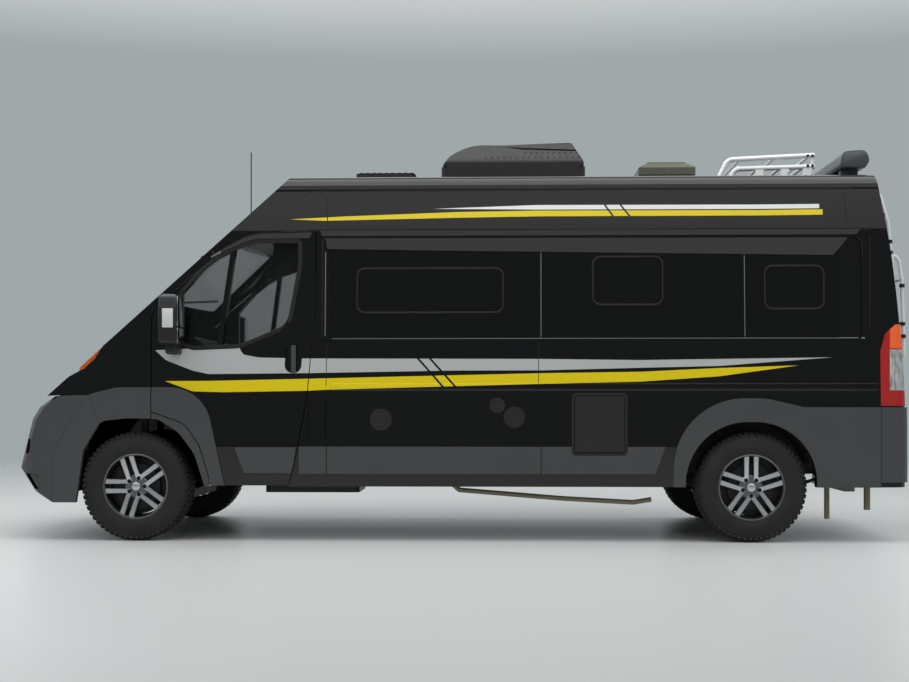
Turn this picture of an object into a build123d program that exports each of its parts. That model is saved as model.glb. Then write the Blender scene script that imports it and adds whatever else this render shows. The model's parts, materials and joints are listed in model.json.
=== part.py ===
from build123d import *
import os
from math import cos, radians, sin, sqrt, tan

# Camper van on a long, high-roofed panel van, in millimetres.
# It is drawn with X running rearward from the front axle, Y to the van's right and Z up from the ground.
# Each finished piece is then moved so that X is zero midway between the nose and the tail.

os.makedirs("parts", exist_ok=True)

# Overall layout
WHEELBASE = 4035
NOSE_X = -948
GAP = 6
FAR = 3000

# Body walls and form
WALL = 50
SHEET = 12
GLASS = 5
SILL_Z = 360
SILL_Y = 1006
FLANK_Z = 620
FLANK_Y = 1023
BELT_Z = 1320
BELT_Y = 1025
DRIP_Z = 2042
DRIP_Y = 985
CREASE_Z = 2302
CREASE_Y = 955
SHOULDER_Z = 2408
SHOULDER_Y = 870
ROOF_Z = 2478
PLAN_Y = 1032
NOSE_BOW = 2900
CORNER_Y = 800
TAIL_FACE_X = 5045
TAIL_BEND_Z = 700
TAIL_TOP_X = 4845
TAIL_TOP_Z = 2420
TAIL_MIDDLE = (4988, 1450)

# Ladder on the left rear door, whose folded lower half reaches furthest back at its foot
LADDER_Y = (500, 800)
LADDER_FOOT_Z = 1215
LADDER_R = 14
FOLD_OFF = 62


def tail_x(z):
    """Face of the tail at a height, on the curve of the side outline."""
    share = (z - TAIL_BEND_Z) / (TAIL_TOP_Z - TAIL_BEND_Z)
    middle = (TAIL_MIDDLE[1] - TAIL_BEND_Z) / (TAIL_TOP_Z - TAIL_BEND_Z)
    drop = TAIL_TOP_X - TAIL_FACE_X
    rise = (TAIL_MIDDLE[0] - TAIL_FACE_X - drop * middle) / (middle * (1 - middle))
    return TAIL_FACE_X + drop * share + rise * share * (1 - share)


TAIL_X = tail_x(LADDER_FOOT_Z) + FOLD_OFF + LADDER_R
MID_X = (NOSE_X + TAIL_X) / 2

# Front slopes: a point on the centre line and the rake of each bowed surface
SCREEN_FOOT = (-32, 1605)
SCREEN_RAKE = 41.6
BONNET_FOOT = (-518, 1240)
BONNET_RAKE = 33.5
SNOUT_FOOT = (-717, 1010)
SNOUT_RAKE = 47
COWL_X = -60
BROW = ((700, 2262), (990, 2438), (1300, 2490))

# Panel seams along the van
DOOR_FRONT_X = 113
DOOR_REAR_X = 1189
B_SEAM_X = 1264
SLIDER_SEAM_X = 2668
REAR_SEAM_X = 3990
RECESS_END_X = 4741
TAIL_PILLAR_X = 4780
BUMPER_SEAM_X = 4866

# Floor
FLOOR_Z = 540
FLOOR_T = 40
RAIL_Y = 470
RAIL_W = 80
RAIL_H = 78

# Wheels
TYRE_R = 358
TYRE_W = 225
WHEEL_Y = 905
RIM_R = 215
SPINDLE_R = 30
HUB_CLEARANCE = 0.5
KINGPIN_Y = 750
PARTS = {}


def box(x0, x1, y0, y1, z0, z1):
    """Block between two opposite corners."""
    return Pos((x0 + x1) / 2, (y0 + y1) / 2, (z0 + z1) / 2) * Box(x1 - x0, y1 - y0, z1 - z0)


def rounded_face(rows, place):
    """Outline whose rows give two distances and the radius of that corner, or none for a sharp one."""
    corners = [(place(row[0], row[1]), row[2] if len(row) > 2 else 0) for row in rows]
    edges = []
    stops = []
    for i, (point, radius) in enumerate(corners):
        before = (corners[i - 1][0] - point).normalized()
        after = (corners[(i + 1) % len(corners)][0] - point).normalized()
        half = radians(before.get_angle(after)) / 2
        reach = radius / tan(half)
        middle = point + (before + after).normalized() * (radius / sin(half) - radius) if radius else point
        stops.append((point + before * reach, middle, point + after * reach))
    for i, (start, middle, end) in enumerate(stops):
        if corners[i][1]:
            edges.append(ThreePointArc(start, middle, end))
        following = stops[(i + 1) % len(stops)][0]
        if (following - end).length > 0.01:
            edges.append(Line(end, following))
    return make_face(edges)


def side_face(rows):
    """Side-view outline in X and Z."""
    return rounded_face(rows, lambda x, z: Vector(x, 0, z))


def cross_prism(rows, x0, x1):
    """Outline in Y and Z carried along the van from x0 to x1."""
    face = rounded_face(rows, lambda y, z: Vector(0, y, z))
    return Pos(x0, 0, 0) * extrude(face, amount=x1 - x0, dir=(1, 0, 0))


def plan_prism(rows, z0, z1):
    """Outline in X and Y carried upwards from z0 to z1."""
    face = rounded_face(rows, lambda x, y: Vector(x, y, 0))
    return Pos(0, 0, z0) * extrude(face, amount=z1 - z0, dir=(0, 0, 1))


def side_prism(rows, y0, y1):
    """Side-view outline carried across the van from y0 to y1."""
    return across(side_face(rows), y0, y1)


def across(face, y0, y1):
    """Face in the side view carried from y0 to y1."""
    return Pos(0, y0, 0) * extrude(face, amount=y1 - y0, dir=(0, 1, 0))


def grown(rows, amount, y0, y1):
    """Side-view outline moved outwards by amount and carried across the van."""
    return across(offset(side_face(rows), amount, kind=Kind.ARC), y0, y1)


def rod(x, y, z, radius, length, along):
    """Round bar centred on a point, along X, Y or Z."""
    turn = {"X": (0, 90, 0), "Y": (90, 0, 0), "Z": (0, 0, 0)}[along]
    return Pos(x, y, z) * Cylinder(radius, length, rotation=turn)


def tube(points, radius, bend):
    """Round tube along straight runs joined by bends."""
    path = FilletPolyline(*points, radius=bend) if len(points) > 2 else Line(*points)
    start = Plane(origin=path @ 0, z_dir=path % 0)
    return sweep(start * Circle(radius), path=path)


def mirrored(shape):
    """The same piece on the van's other side."""
    return mirror(shape, about=Plane.XZ)


def both(shape):
    return [shape, mirrored(shape)]


def save(name, *shapes):
    """Move the piece to the van's own frame and write it."""
    solids = [s for shape in shapes for s in shape.solids()]
    piece = solids[0] if len(solids) == 1 else Compound(children=solids)
    piece = Pos(-MID_X, 0, 0) * piece
    piece.label = name
    PARTS[name] = piece
    export_step(piece, f"parts/{name}.step")


# Body form


def half_section():
    """Cross-section of the body: flank, belt, drip rail, crease, shoulder and crowned roof."""
    right = [(SILL_Y, SILL_Z), (FLANK_Y, FLANK_Z), (BELT_Y, BELT_Z), (DRIP_Y, DRIP_Z), (CREASE_Y, CREASE_Z)]
    left = [(-y, z) for y, z in reversed(right)]
    bend = ((CREASE_Y + SHOULDER_Y) / 2 + 18, (CREASE_Z + SHOULDER_Z) / 2 + 18)
    lines = Polyline(*[(0, y, z) for y, z in right])
    shoulder = ThreePointArc((0, *right[-1]), (0, *bend), (0, SHOULDER_Y, SHOULDER_Z))
    crown = ThreePointArc((0, SHOULDER_Y, SHOULDER_Z), (0, 0, ROOF_Z), (0, -SHOULDER_Y, SHOULDER_Z))
    other = ThreePointArc((0, -SHOULDER_Y, SHOULDER_Z), (0, -bend[0], bend[1]), (0, *left[0]))
    back = Polyline(*[(0, y, z) for y, z in left])
    sill = Line((0, *left[-1]), (0, *right[0]))
    return make_face([*lines.edges(), shoulder, crown, other, *back.edges(), sill])


def plan_outline():
    """Outline seen from above: bowed nose, rounded corners, straight flanks and a slight tail taper."""
    corner_x = NOSE_X + CORNER_Y**2 / (2 * NOSE_BOW)
    right = [
        ThreePointArc((corner_x, CORNER_Y), (-722, 948), (-560, 1000)),
        ThreePointArc((-560, 1000), (-150, 1022), (400, PLAN_Y)),
        Line((400, PLAN_Y), (4300, PLAN_Y)),
        ThreePointArc((4300, PLAN_Y), (4640, 1024), (4950, 996)),
        ThreePointArc((4950, 996), (5022, 962), (5052, 890)),
    ]
    nose = ThreePointArc((corner_x, -CORNER_Y), (NOSE_X, 0), (corner_x, CORNER_Y))
    tail = ThreePointArc((5052, 890), (5060, 0), (5052, -890))
    edges = [nose, *right, tail, *[mirrored(e) for e in right]]
    return make_face(edges)


def side_outline():
    """Outline seen from the side, without the slopes of the front, which are bowed."""
    start, middle, end = BROW
    edges = [
        Line((-1200, 0, SILL_Z), (TAIL_FACE_X, 0, SILL_Z)),
        Line((TAIL_FACE_X, 0, SILL_Z), (TAIL_FACE_X, 0, TAIL_BEND_Z)),
        ThreePointArc((TAIL_FACE_X, 0, TAIL_BEND_Z), (TAIL_MIDDLE[0], 0, TAIL_MIDDLE[1]), (TAIL_TOP_X, 0, TAIL_TOP_Z)),
        ThreePointArc((TAIL_TOP_X, 0, TAIL_TOP_Z), (4825, 0, 2462), (4770, 0, 2490)),
        Line((4770, 0, 2490), (end[0], 0, end[1])),
        ThreePointArc((end[0], 0, end[1]), (middle[0], 0, middle[1]), (start[0], 0, start[1])),
        Line((start[0], 0, start[1]), (-1200, 0, start[1])),
        Line((-1200, 0, start[1]), (-1200, 0, SILL_Z)),
    ]
    return make_face(edges)


def bowed_slope(foot, rake, inset, across_r=NOSE_BOW):
    """Everything behind a slope that is bowed across the van, moved inwards by inset."""
    bow = across_r / sin(radians(rake))
    x = foot[0] + bow * sin(radians(rake))
    z = foot[1] - bow * cos(radians(rake))
    return Pos(x, 0, z) * Cylinder(bow - inset, 16000, rotation=(0, 90 - rake, 0))


def envelope(inset):
    """The closed body form, moved inwards by inset, or outwards where it is negative."""
    section = offset(half_section(), -inset, kind=Kind.ARC)
    plan = offset(plan_outline(), -inset, kind=Kind.ARC)
    profile = offset(side_outline(), -inset, kind=Kind.ARC)
    form = Pos(-1500, 0, 0) * extrude(section, amount=7000, dir=(1, 0, 0))
    form = form & extrude(plan, amount=FAR, dir=(0, 0, 1))
    form = form & across(profile, -1200, 1200)
    form = form & bowed_slope(SCREEN_FOOT, SCREEN_RAKE, inset)
    ahead = box(-1600, COWL_X + inset, -1300, 1300, -100, 2600)
    form = form - (ahead - bowed_slope(BONNET_FOOT, BONNET_RAKE, inset))
    form = form - (ahead - bowed_slope(SNOUT_FOOT, SNOUT_RAKE, inset))
    return form


CLADDING_T = 14
RECESS_T = 10
BONNET_T = 28
LAMP_T = 60
OUTER = envelope(0)
INNER = envelope(WALL)
SHELL = OUTER - INNER
CLAD_SHELL = envelope(-CLADDING_T) - OUTER
PLATE = OUTER - envelope(SHEET)
RECESS = OUTER - envelope(RECESS_T)
PANE = envelope(RECESS_T - GLASS - 2) - envelope(RECESS_T)
DOOR_PANE = envelope(22) - envelope(22 + GLASS)
POST_Y = 938
SIDE_IN = 930

# Outlines in the side view: x, z and corner radius
DOOR = (
    (501, 366), (1011, 366, 30), (1069, 598), (1137, 983), (1175, 1407), (DOOR_REAR_X, 1616),
    (DOOR_REAR_X, DRIP_Z - GAP, 20), (870, DRIP_Z - GAP, 200), (596, 1918), (427, 1785),
    (218, 1607), (125, 1504), (DOOR_FRONT_X, 1458), (DOOR_FRONT_X, 852), (334, 774, 150), (433, 626), (491, 424),
)
DOOR_WINDOW = (
    (315, 1628, 20), (315, 1300, 40), (400, 1275, 60), (700, 1288, 200), (880, 1362, 100),
    (1000, 1405, 60), (1078, 1803), (1077, 1965, 30), (800, 1963, 200), (659, 1918), (489, 1824),
)
DIVIDER = ((640, 1990), (560, 1419), (536, 1200), (570, 1200), (594, 1415), (674, 1990))
FRONT_ARCH = (
    (-417, 100), (-345, 592), (-281, 702), (-215, 790, 60), (-60, 806, 100), (150, 806, 150), (295, 712, 150),
    (395, 575, 200), (470, 330, 100), (486, 100),
)
BUMPER_SIDE = (
    (-1000, 252), (-1000, 930), (-735, 948), (-301, 962), (-230, 778), (-281, 702), (-345, 592), (-387, 306),
    (-395, 252),
)
REAR_ARCH = ((3606, 100), (3608, 785, 400), (4452, 785, 400), (4456, 100))
FRONT_FLARE = ((-230, 778), (-301, 965), (-120, 1010, 200), (455, 1012, 280), (606, 300), (500, 250))
REAR_FLARE = ((3526, 300), (3530, 938, 460), (4120, 938, 500), (4370, 880), (BUMPER_SEAM_X, 880), (BUMPER_SEAM_X, 300))
HEADLAMP = ((-900, 1004), (-600, 1022), (-425, 1085), (-338, 1130), (-265, 1195), (-206, 1287), (-186, 1420), (-900, 1420))
TAIL_LAMP = ((4866, 889), (4862, 1245, 60), (4894, 1358, 60), (4961, 1417, 20), (5100, 1420), (5100, 889))
HATCH = ((2888, 586, 18), (3209, 586, 18), (3209, 953, 18), (2888, 953, 18))
FUEL_FLAP = ((1150, 676, 12), (1256, 676, 12), (1256, 936, 12), (1150, 936, 12))
HANDLE_RECESS = ((985, 1105, 50), (1096, 1105, 50), (1112, 1290, 50), (1000, 1290, 50))
HANDLE_DEPTH = 26
STRIP_TOP = 622
STRIP_BOTTOM = 445
RECESS_ZONE = ((1288, 1326, 15), (RECESS_END_X, 1326, 40), (RECESS_END_X, 1995, 40), (1288, 1995, 15))
# Side glass: front edge, rear edge
PANES = ((1292, SLIDER_SEAM_X - 8), (SLIDER_SEAM_X + 8, REAR_SEAM_X - 7), (REAR_SEAM_X + 7, 4600))
PANE_Z = (1334, 1987)
PANE_LAP = 70


def left_half(y0, y1, x0=-1600, x1=5300, z0=0, z1=2700):
    """Block on the left side between two distances from the centre line."""
    return box(x0, x1, -y1, -y0, z0, z1)


# Side walls

wall = SHELL & left_half(POST_Y, 1100, 950, 5200, SILL_Z, DRIP_Z)
wall = wall - grown(DOOR, GAP, -1100, -900) - side_prism(REAR_ARCH, -1100, -900)
wall = wall - (RECESS & side_prism(RECESS_ZONE, -1100, -900))
for front, rear in PANES:
    wall = wall - side_prism(
        ((front + PANE_LAP, PANE_Z[0] + PANE_LAP, 60), (rear - PANE_LAP, PANE_Z[0] + PANE_LAP, 60),
         (rear - PANE_LAP, PANE_Z[1] - PANE_LAP, 60), (front + PANE_LAP, PANE_Z[1] - PANE_LAP, 60)),
        -1100, -900)
LAMP_DEPTH = 40
lamp_zone = side_prism(TAIL_LAMP, -1100, -POST_Y)
LAMP_BODY = envelope(-4) - envelope(LAMP_DEPTH)
tail_lamp = LAMP_BODY & lamp_zone
wall = wall - ((OUTER - envelope(LAMP_DEPTH)) & lamp_zone)

slider_zone = left_half(SIDE_IN, 1100, B_SEAM_X + 6, SLIDER_SEAM_X - 3, 420, DRIP_Z - 2)
sliding_door = mirrored(wall & slider_zone)
right_wall = mirrored(wall - left_half(SIDE_IN, 1100, B_SEAM_X, SLIDER_SEAM_X + 3, 414, DRIP_Z + 5))
RAIL_Z = 1285
rail_slot = box(SLIDER_SEAM_X + 20, REAR_SEAM_X - 60, 1010, 1100, RAIL_Z - 12, RAIL_Z + 12)
right_wall = right_wall - rail_slot
slider_handle = mirrored(side_prism(((2520, 1120, 40), (2610, 1120, 40), (2610, 1280, 40), (2520, 1280, 40)),
                                    -1100, -BELT_Y + 26))
sliding_door = sliding_door - slider_handle
save("sliding_door", sliding_door)

# Fittings in the left wall: fuel flap, service hatch and three round ports
HATCH_T = 22
fuel_flap = PLATE & side_prism(FUEL_FLAP, -1100, -900)
FLAP_ROOM = 8
flap_well = (OUTER - envelope(SHEET + FLAP_ROOM)) & grown(FUEL_FLAP, GAP, -1100, -900)
wall = wall - flap_well
hatch_body = (envelope(-6) - envelope(HATCH_T)) & side_prism(HATCH, -1100, -900)
HATCH_FRAME = ((2868, 566, 30), (3229, 566, 30), (3229, 973, 30), (2868, 973, 30))
hatch_frame = (envelope(-3) - OUTER) & side_prism(HATCH_FRAME, -1100, -900)
hatch_frame = hatch_frame - grown(HATCH, 5, -1100, -900)
hatch_well = (OUTER - envelope(HATCH_T + 8)) & grown(HATCH, 5, -1100, -900)
wall = wall - hatch_well
# Ports: x, z, outer radius, inner radius
PORTS = ((1622, 800, 72, 45), (2494, 815, 70, 44), (2383, 893, 50, 30))
ports = []
for x, z, outer, inner in PORTS:
    rim = (envelope(-5) - OUTER) & rod(x, -1020, z, outer, 200, "Y")
    cap = (envelope(-9) - OUTER) & rod(x, -1020, z, inner, 200, "Y")
    ports += [rim - rod(x, -1020, z, inner, 200, "Y"), cap]
ports = [ports[0] + ports[1], ports[2] + ports[3], ports[4] + ports[5]]
save("left_side_wall", wall)
save("right_side_wall", right_wall)
save("fuel_flap", fuel_flap)
save("service_hatch_lid", hatch_body)
save("side_fittings", hatch_frame, *ports)
save("tail_lamps", *both(tail_lamp))

panes = []
for front, rear in PANES:
    rows = ((front, PANE_Z[0], 12), (rear, PANE_Z[0], 12), (rear, PANE_Z[1], 12), (front, PANE_Z[1], 12))
    panes += both(PANE & side_prism(rows, -1100, -900))
save("side_glass", *panes)

# Roof
REAR_DOOR_Z = (566, 2235)
REAR_DOOR_X = 4790
# The rear doors' top edge is square to their leaning hinge line, so it stays in its own plane as they swing
REAR_HINGE = ((5060, 700), (4905, 2235))
REAR_LEAN = (REAR_HINGE[0][0] - REAR_HINGE[1][0]) / (REAR_HINGE[1][1] - REAR_HINGE[0][1])


def rear_doorway(grow, bottom, y0, y1):
    """Block that holds the rear doors, seen from the side."""
    front, rear = REAR_DOOR_X - grow, 5300
    tops = [REAR_DOOR_Z[1] + grow + REAR_LEAN * (x - tail_x(REAR_DOOR_Z[1])) for x in (front, rear)]
    return side_prism(((front, bottom), (rear, bottom), (rear, tops[1]), (front, tops[0])), y0, y1)


roof = SHELL & box(-100, 5200, -1200, 1200, DRIP_Z, 2600)
roof = roof - rear_doorway(GAP, DRIP_Z - 5, -POST_Y, POST_Y)

# Windscreen and front frame
SCREEN_Z = (1622, 2052)
SCREEN_HALF = (872, 812)


def screen_zone(grow):
    """Block that holds the windscreen, narrower at its top."""
    bottom, top = SCREEN_HALF
    low, high = SCREEN_Z
    corners = ((-bottom - grow, low - grow), (bottom + grow, low - grow), (top + grow, high + grow), (-top - grow, high + grow))
    face = make_face(Polyline(*[(0, y, z) for y, z in corners], close=True))
    return Pos(-300, 0, 0) * extrude(face, amount=1300, dir=(1, 0, 0))


SCREEN_T = 6
windscreen = (envelope(3) - envelope(3 + SCREEN_T)) & screen_zone(0)
save("windscreen", windscreen)
roof = roof - screen_zone(0)
save("roof", roof)

WING_TOP_Z = 1602
WING_Y = 725
DOOR_EDGE_X = DOOR_FRONT_X - GAP
frame_skin = SHELL & box(COWL_X + 4, 1000, -1200, 1200, 1340, DRIP_Z)
frame_skin = frame_skin - grown(DOOR, GAP, -1100, -700) - mirrored(grown(DOOR, GAP, -1100, -700)) - screen_zone(0)
wing_zone = left_half(WING_Y - 5, 1100, -900, DOOR_EDGE_X, 300, WING_TOP_Z)
frame_skin = frame_skin - (PLATE & (wing_zone + mirrored(wing_zone)))

# Scuttle, firewall, wheelhouses, hinge pillars and the front carrier behind the bumper
FIREWALL = ((480, 520), (480, 900), (250, 1120), (90, 1390), (-40, 1390), (-40, 1560))
firewall_rows = [*FIREWALL, *[(x + 12, z + 12) for x, z in reversed(FIREWALL)]]
firewall = side_prism(firewall_rows, -955, 955) & envelope(SHEET)
# The wheelhouse leaves room for the tyre at full lock
HOUSE = ((-464, 100), (-464, 806, 230), (436, 806, 230), (472, 100))
ARCH_T = 10
HOUSE_Y = 540
HOUSE_OUT_Y = 955
house_outer = grown(HOUSE, ARCH_T, -HOUSE_OUT_Y, -HOUSE_Y + ARCH_T)
house_space = side_prism(HOUSE, -1000, -HOUSE_Y)
wheelhouse = (house_outer - house_space) & box(-480, 484, -1000, -HOUSE_Y + ARCH_T, 380, 900)
# Lip of the arch behind the door's shut line, with its brackets to the pillar and the wheelhouse
lip_zone = side_prism(FRONT_FLARE, -1100, -900) & left_half(900, 1100, DOOR_FRONT_X, 488, SILL_Z, 900)
lip_zone = lip_zone - side_prism(FRONT_ARCH, -1100, -900) - grown(DOOR, GAP, -1100, -900)
lip = PLATE & lip_zone
lip = lip + left_half(940, 1004, 446, 460, 382, 458) + left_half(940, 1010, DOOR_FRONT_X, 160, 810, 824)
pillar = left_half(890, HOUSE_OUT_Y, DOOR_EDGE_X - 60, DOOR_FRONT_X + 70, 800, 1500)
CARRIER_Z = (808, 880)
upper_rail = left_half(690, 760, -660, 200, *CARRIER_Z)
frame_side = wheelhouse + pillar + upper_rail + lip
carrier = box(-700, -650, -760, 760, *CARRIER_Z)
front_frame = frame_skin + firewall + frame_side + mirrored(frame_side) + carrier

# Bonnet, wings and headlamps
BONNET_Y = 715
LAMP_Y = 560
bonnet = (OUTER - envelope(BONNET_T)) & box(-900, COWL_X - GAP, -BONNET_Y, BONNET_Y, 1012, 1700)
lamp_block = side_prism(HEADLAMP, -1100, -LAMP_Y)
lamp_gap = grown(HEADLAMP, GAP, -1100, -LAMP_Y + GAP)
bonnet = bonnet - lamp_gap - mirrored(lamp_gap)
save("bonnet", bonnet)
headlamp = (OUTER - envelope(LAMP_T)) & lamp_block
save("headlamps", *both(headlamp))
wing = PLATE & wing_zone
wing = wing - grown(BUMPER_SIDE, 3, -1100, -500) - side_prism(FRONT_ARCH, -1100, -500)
wing = wing - side_prism(HEADLAMP, -1100, -500)
wing = wing - left_half(0, BONNET_Y + 4, -1000, COWL_X, 1000, 1700)
save("front_wings", *both(wing))

# Front bumper and grille: slopes of the nose, each a point on the centre line and its rake
BUMPER_SLOPES = ((-942, 640, 76), (-908, 790, 58), (-864, 870, 36), (-940, 400, 122), (-862, 300, 146))
BUMPER_BOW = 2150
BUMPER_T = 30
BULGE_T = 9
GRILLE_Z = (640, 905)
GRILLE_Y = 520
INTAKE_Z = (320, 500)
INTAKE_Y = 610
FOG_POCKET = ((-758, 442, 10), (-652, 436, 15), (-641, 340, 15), (-712, 332, 15), (-752, 405, 10))
MARKER_POCKET = ((-784, 570, 5), (-722, 570, 5), (-722, 668, 5), (-784, 668, 5))
POCKET_DEPTH = 20
BULGE = ((-324, 955), (-545, 585), (-548, 252), (-300, 252), (-200, 955))


def nose_form(inset):
    """Nose of the van as the bumper follows it, rounded back above and below."""
    form = extrude(offset(plan_outline(), -inset, kind=Kind.ARC), amount=1100, dir=(0, 0, 1))
    form = form & box(-1000, 400, -1200, 1200, 200, 1100)
    for x, z, rake in BUMPER_SLOPES:
        form = form & bowed_slope((x, z), rake, inset, BUMPER_BOW)
    return form


NOSE = nose_form(0)
bumper_zone = side_prism(BUMPER_SIDE, -1200, 1200)
bumper_core = nose_form(BUMPER_T) & box(-1000, -100, -1200, 1200, 200, 935)
bumper = (NOSE & bumper_zone) - bumper_core
bumper = bumper - box(-1000, -500, -GRILLE_Y, GRILLE_Y, *GRILLE_Z)
bumper = bumper - box(-1000, -500, -INTAKE_Y, INTAKE_Y, *INTAKE_Z)
bumper = bumper - box(-700, 0, -800, 800, 890, 1000)
pocket_floor = nose_form(POCKET_DEPTH)
for outline in (FOG_POCKET, MARKER_POCKET):
    for pocket in both(side_prism(outline, -1100, -700) - pocket_floor):
        bumper = bumper - pocket
for bulge in both((nose_form(-BULGE_T) - NOSE) & bumper_zone & side_prism(BULGE, -1100, -850)):
    bumper = bumper + bulge
save("front_bumper", bumper)
save("front_frame", front_frame - bumper)

BAR_PITCH = 38
BAR_H = 14
GRILLE_BACK = 8
GRILLE_FACE = nose_form(GRILLE_BACK) - nose_form(GRILLE_BACK + BUMPER_T)


def grille_bars(low, high, reach):
    """Frame with evenly spaced bars across one opening of the bumper."""
    ring = box(-1000, -500, -reach, reach, low, high) - box(-1000, -500, -reach + 14, reach - 14, low + 14, high - 14)
    bars = ring
    count = int((high - low - 30) / BAR_PITCH)
    pitch = (high - low) / (count + 1)
    for row in range(1, count + 1):
        z = low + row * pitch
        bars = bars + box(-1000, -500, -reach, reach, z - BAR_H / 2, z + BAR_H / 2)
    return bars & GRILLE_FACE


save("front_grille", grille_bars(*GRILLE_Z, GRILLE_Y), grille_bars(*INTAKE_Z, INTAKE_Y))

# Cab doors, left and right alike


def cab_door():
    """Left cab door with its window frame, divider and handle recess."""
    door = SHELL & side_prism(DOOR, -1100, -SIDE_IN)
    opening = side_prism(DOOR_WINDOW, -1100, -800) - side_prism(DIVIDER, -1100, -800)
    recess = side_prism(HANDLE_RECESS, -1100, -BELT_Y + HANDLE_DEPTH)
    return door - opening - recess


door = cab_door()
door_glass = DOOR_PANE & (side_prism(DOOR_WINDOW, -1100, -800) - side_prism(DIVIDER, -1100, -800))
trim_zone = CLAD_SHELL & side_prism(DOOR, -1100, -900)
arch_trim = trim_zone & side_prism(FRONT_FLARE, -1100, -900)
DOOR_STRIP = ((722, STRIP_BOTTOM + 4), (1041, STRIP_BOTTOM + 4), (1064, STRIP_TOP - 4), (659, STRIP_TOP - 4))
strip_trim = trim_zone & side_prism(DOOR_STRIP, -1100, -900)
handle = left_half(BELT_Y - 14, BELT_Y + 10, 1034, 1064, 1108, 1286)
arch_trim = arch_trim - strip_trim
save("left_cab_door", door)
save("right_cab_door", mirrored(door))
save("left_door_glass", door_glass)
save("right_door_glass", mirrored(door_glass))
save("left_door_trim", arch_trim, strip_trim, handle)
save("right_door_trim", mirrored(arch_trim), mirrored(strip_trim), mirrored(handle))

# Mirrors
MIRROR_X = (190, 322)
MIRROR_Y = (1092, 1254)
MIRROR_Z = (1286, 1622)
mirror_head = left_half(*MIRROR_Y, *MIRROR_X, *MIRROR_Z)
mirror_head = fillet(mirror_head.edges().filter_by(Axis.Z), 30)
mirror_head = fillet(mirror_head.edges().group_by(Axis.Z)[-1] + mirror_head.edges().group_by(Axis.Z)[0], 22)
mirror_arm = left_half(900, 1150, 236, 312, 1222, 1300) + left_half(900, 1110, 246, 300, 1300, 1360)
mirror_arm = mirror_arm - OUTER
door_mirror = mirror_head + mirror_arm
save("left_mirror", door_mirror)
save("right_mirror", mirrored(door_mirror))

# Cladding on the body: arch flares, side strips and the panel ahead of the rear bumper
clad_side = CLAD_SHELL & left_half(880, 1100, -301, BUMPER_SEAM_X, SILL_Z, 1100)
front_flare = clad_side & side_prism(FRONT_FLARE, -1100, -800)
front_flare = front_flare - side_prism(FRONT_ARCH, -1100, -800) - grown(DOOR, GAP, -1100, -800)
arch_lip = front_flare & left_half(800, 1100, DOOR_FRONT_X, 488, 0, 1100)
front_flare = front_flare & left_half(800, 1100, -301, DOOR_EDGE_X, 0, 1100)
rear_flare = (clad_side & side_prism(REAR_FLARE, -1100, -800)) - side_prism(REAR_ARCH, -1100, -800)
# Strips: front edge, rear edge at the top, rear edge at the bottom
STRIPS = ((1084, 1262, 1262), (1268, SLIDER_SEAM_X - 4, SLIDER_SEAM_X - 4), (SLIDER_SEAM_X + 4, 3474, 3408))
strips = []
for front, rear_top, rear_bottom in STRIPS:
    rows = ((front, STRIP_BOTTOM), (rear_bottom, STRIP_BOTTOM), (rear_top, STRIP_TOP), (front, STRIP_TOP))
    strips.append(clad_side & side_prism(rows, -1100, -900))
strips[0] = strips[0] - grown(DOOR, GAP, -1100, -900)
strips[2] = strips[2] - grown(HATCH_FRAME, 1, -1100, -900)
clad_pieces = [p for piece in (front_flare, arch_lip, rear_flare, *strips) for p in both(piece)]
save("body_cladding", *clad_pieces)

# Rear bumper with high corners and a step between them
STEP_Z = 552
BUMPER_BOTTOM_Z = 392
corner = CLAD_SHELL & left_half(POST_Y, 1100, BUMPER_SEAM_X + 3, 5200, BUMPER_BOTTOM_Z, 880)
step = (envelope(-CLADDING_T) - envelope(70)) & box(4900, 5200, -POST_Y, POST_Y, BUMPER_BOTTOM_Z, STEP_Z)
rear_bumper = corner + mirrored(corner) + step
save("rear_bumper", rear_bumper)

# Rear doors
DOOR_SPLIT = 4
rear_zone = rear_doorway(0, REAR_DOOR_Z[0], GAP - POST_Y, -DOOR_SPLIT)
rear_door = SHELL & rear_zone
REAR_WINDOW_Y = (150, 800)
REAR_WINDOW_Z = (1352, 1958)
window_zone = left_half(*REAR_WINDOW_Y, 4600, 5300, *REAR_WINDOW_Z)
window_zone = fillet(window_zone.edges().filter_by(Axis.X), 60)
rear_door = rear_door - window_zone
rear_glass = (envelope(4) - envelope(4 + GLASS)) & window_zone
save("left_rear_door", rear_door)
save("right_rear_door", mirrored(rear_door))
save("left_rear_glass", rear_glass)
save("right_rear_glass", mirrored(rear_glass))

# Ladder: stiles hooked over the door's top, the lower half folded up against them, rungs and standoffs
# Stiles: height and how far the tube's middle stands off the door
STILE = ((2262, -6), (2290, 14), (2280, 44), (2099, 66), (1930, 57), (1566, 39), (LADDER_FOOT_Z, 28))
FOLDED = ((1855, 45), (1884, 80), (1845, 102), (1717, 104), (LADDER_FOOT_Z, FOLD_OFF))
LADDER_BEND = 12
STANDOFF_Z = (2190, 1660, 1260)
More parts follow.
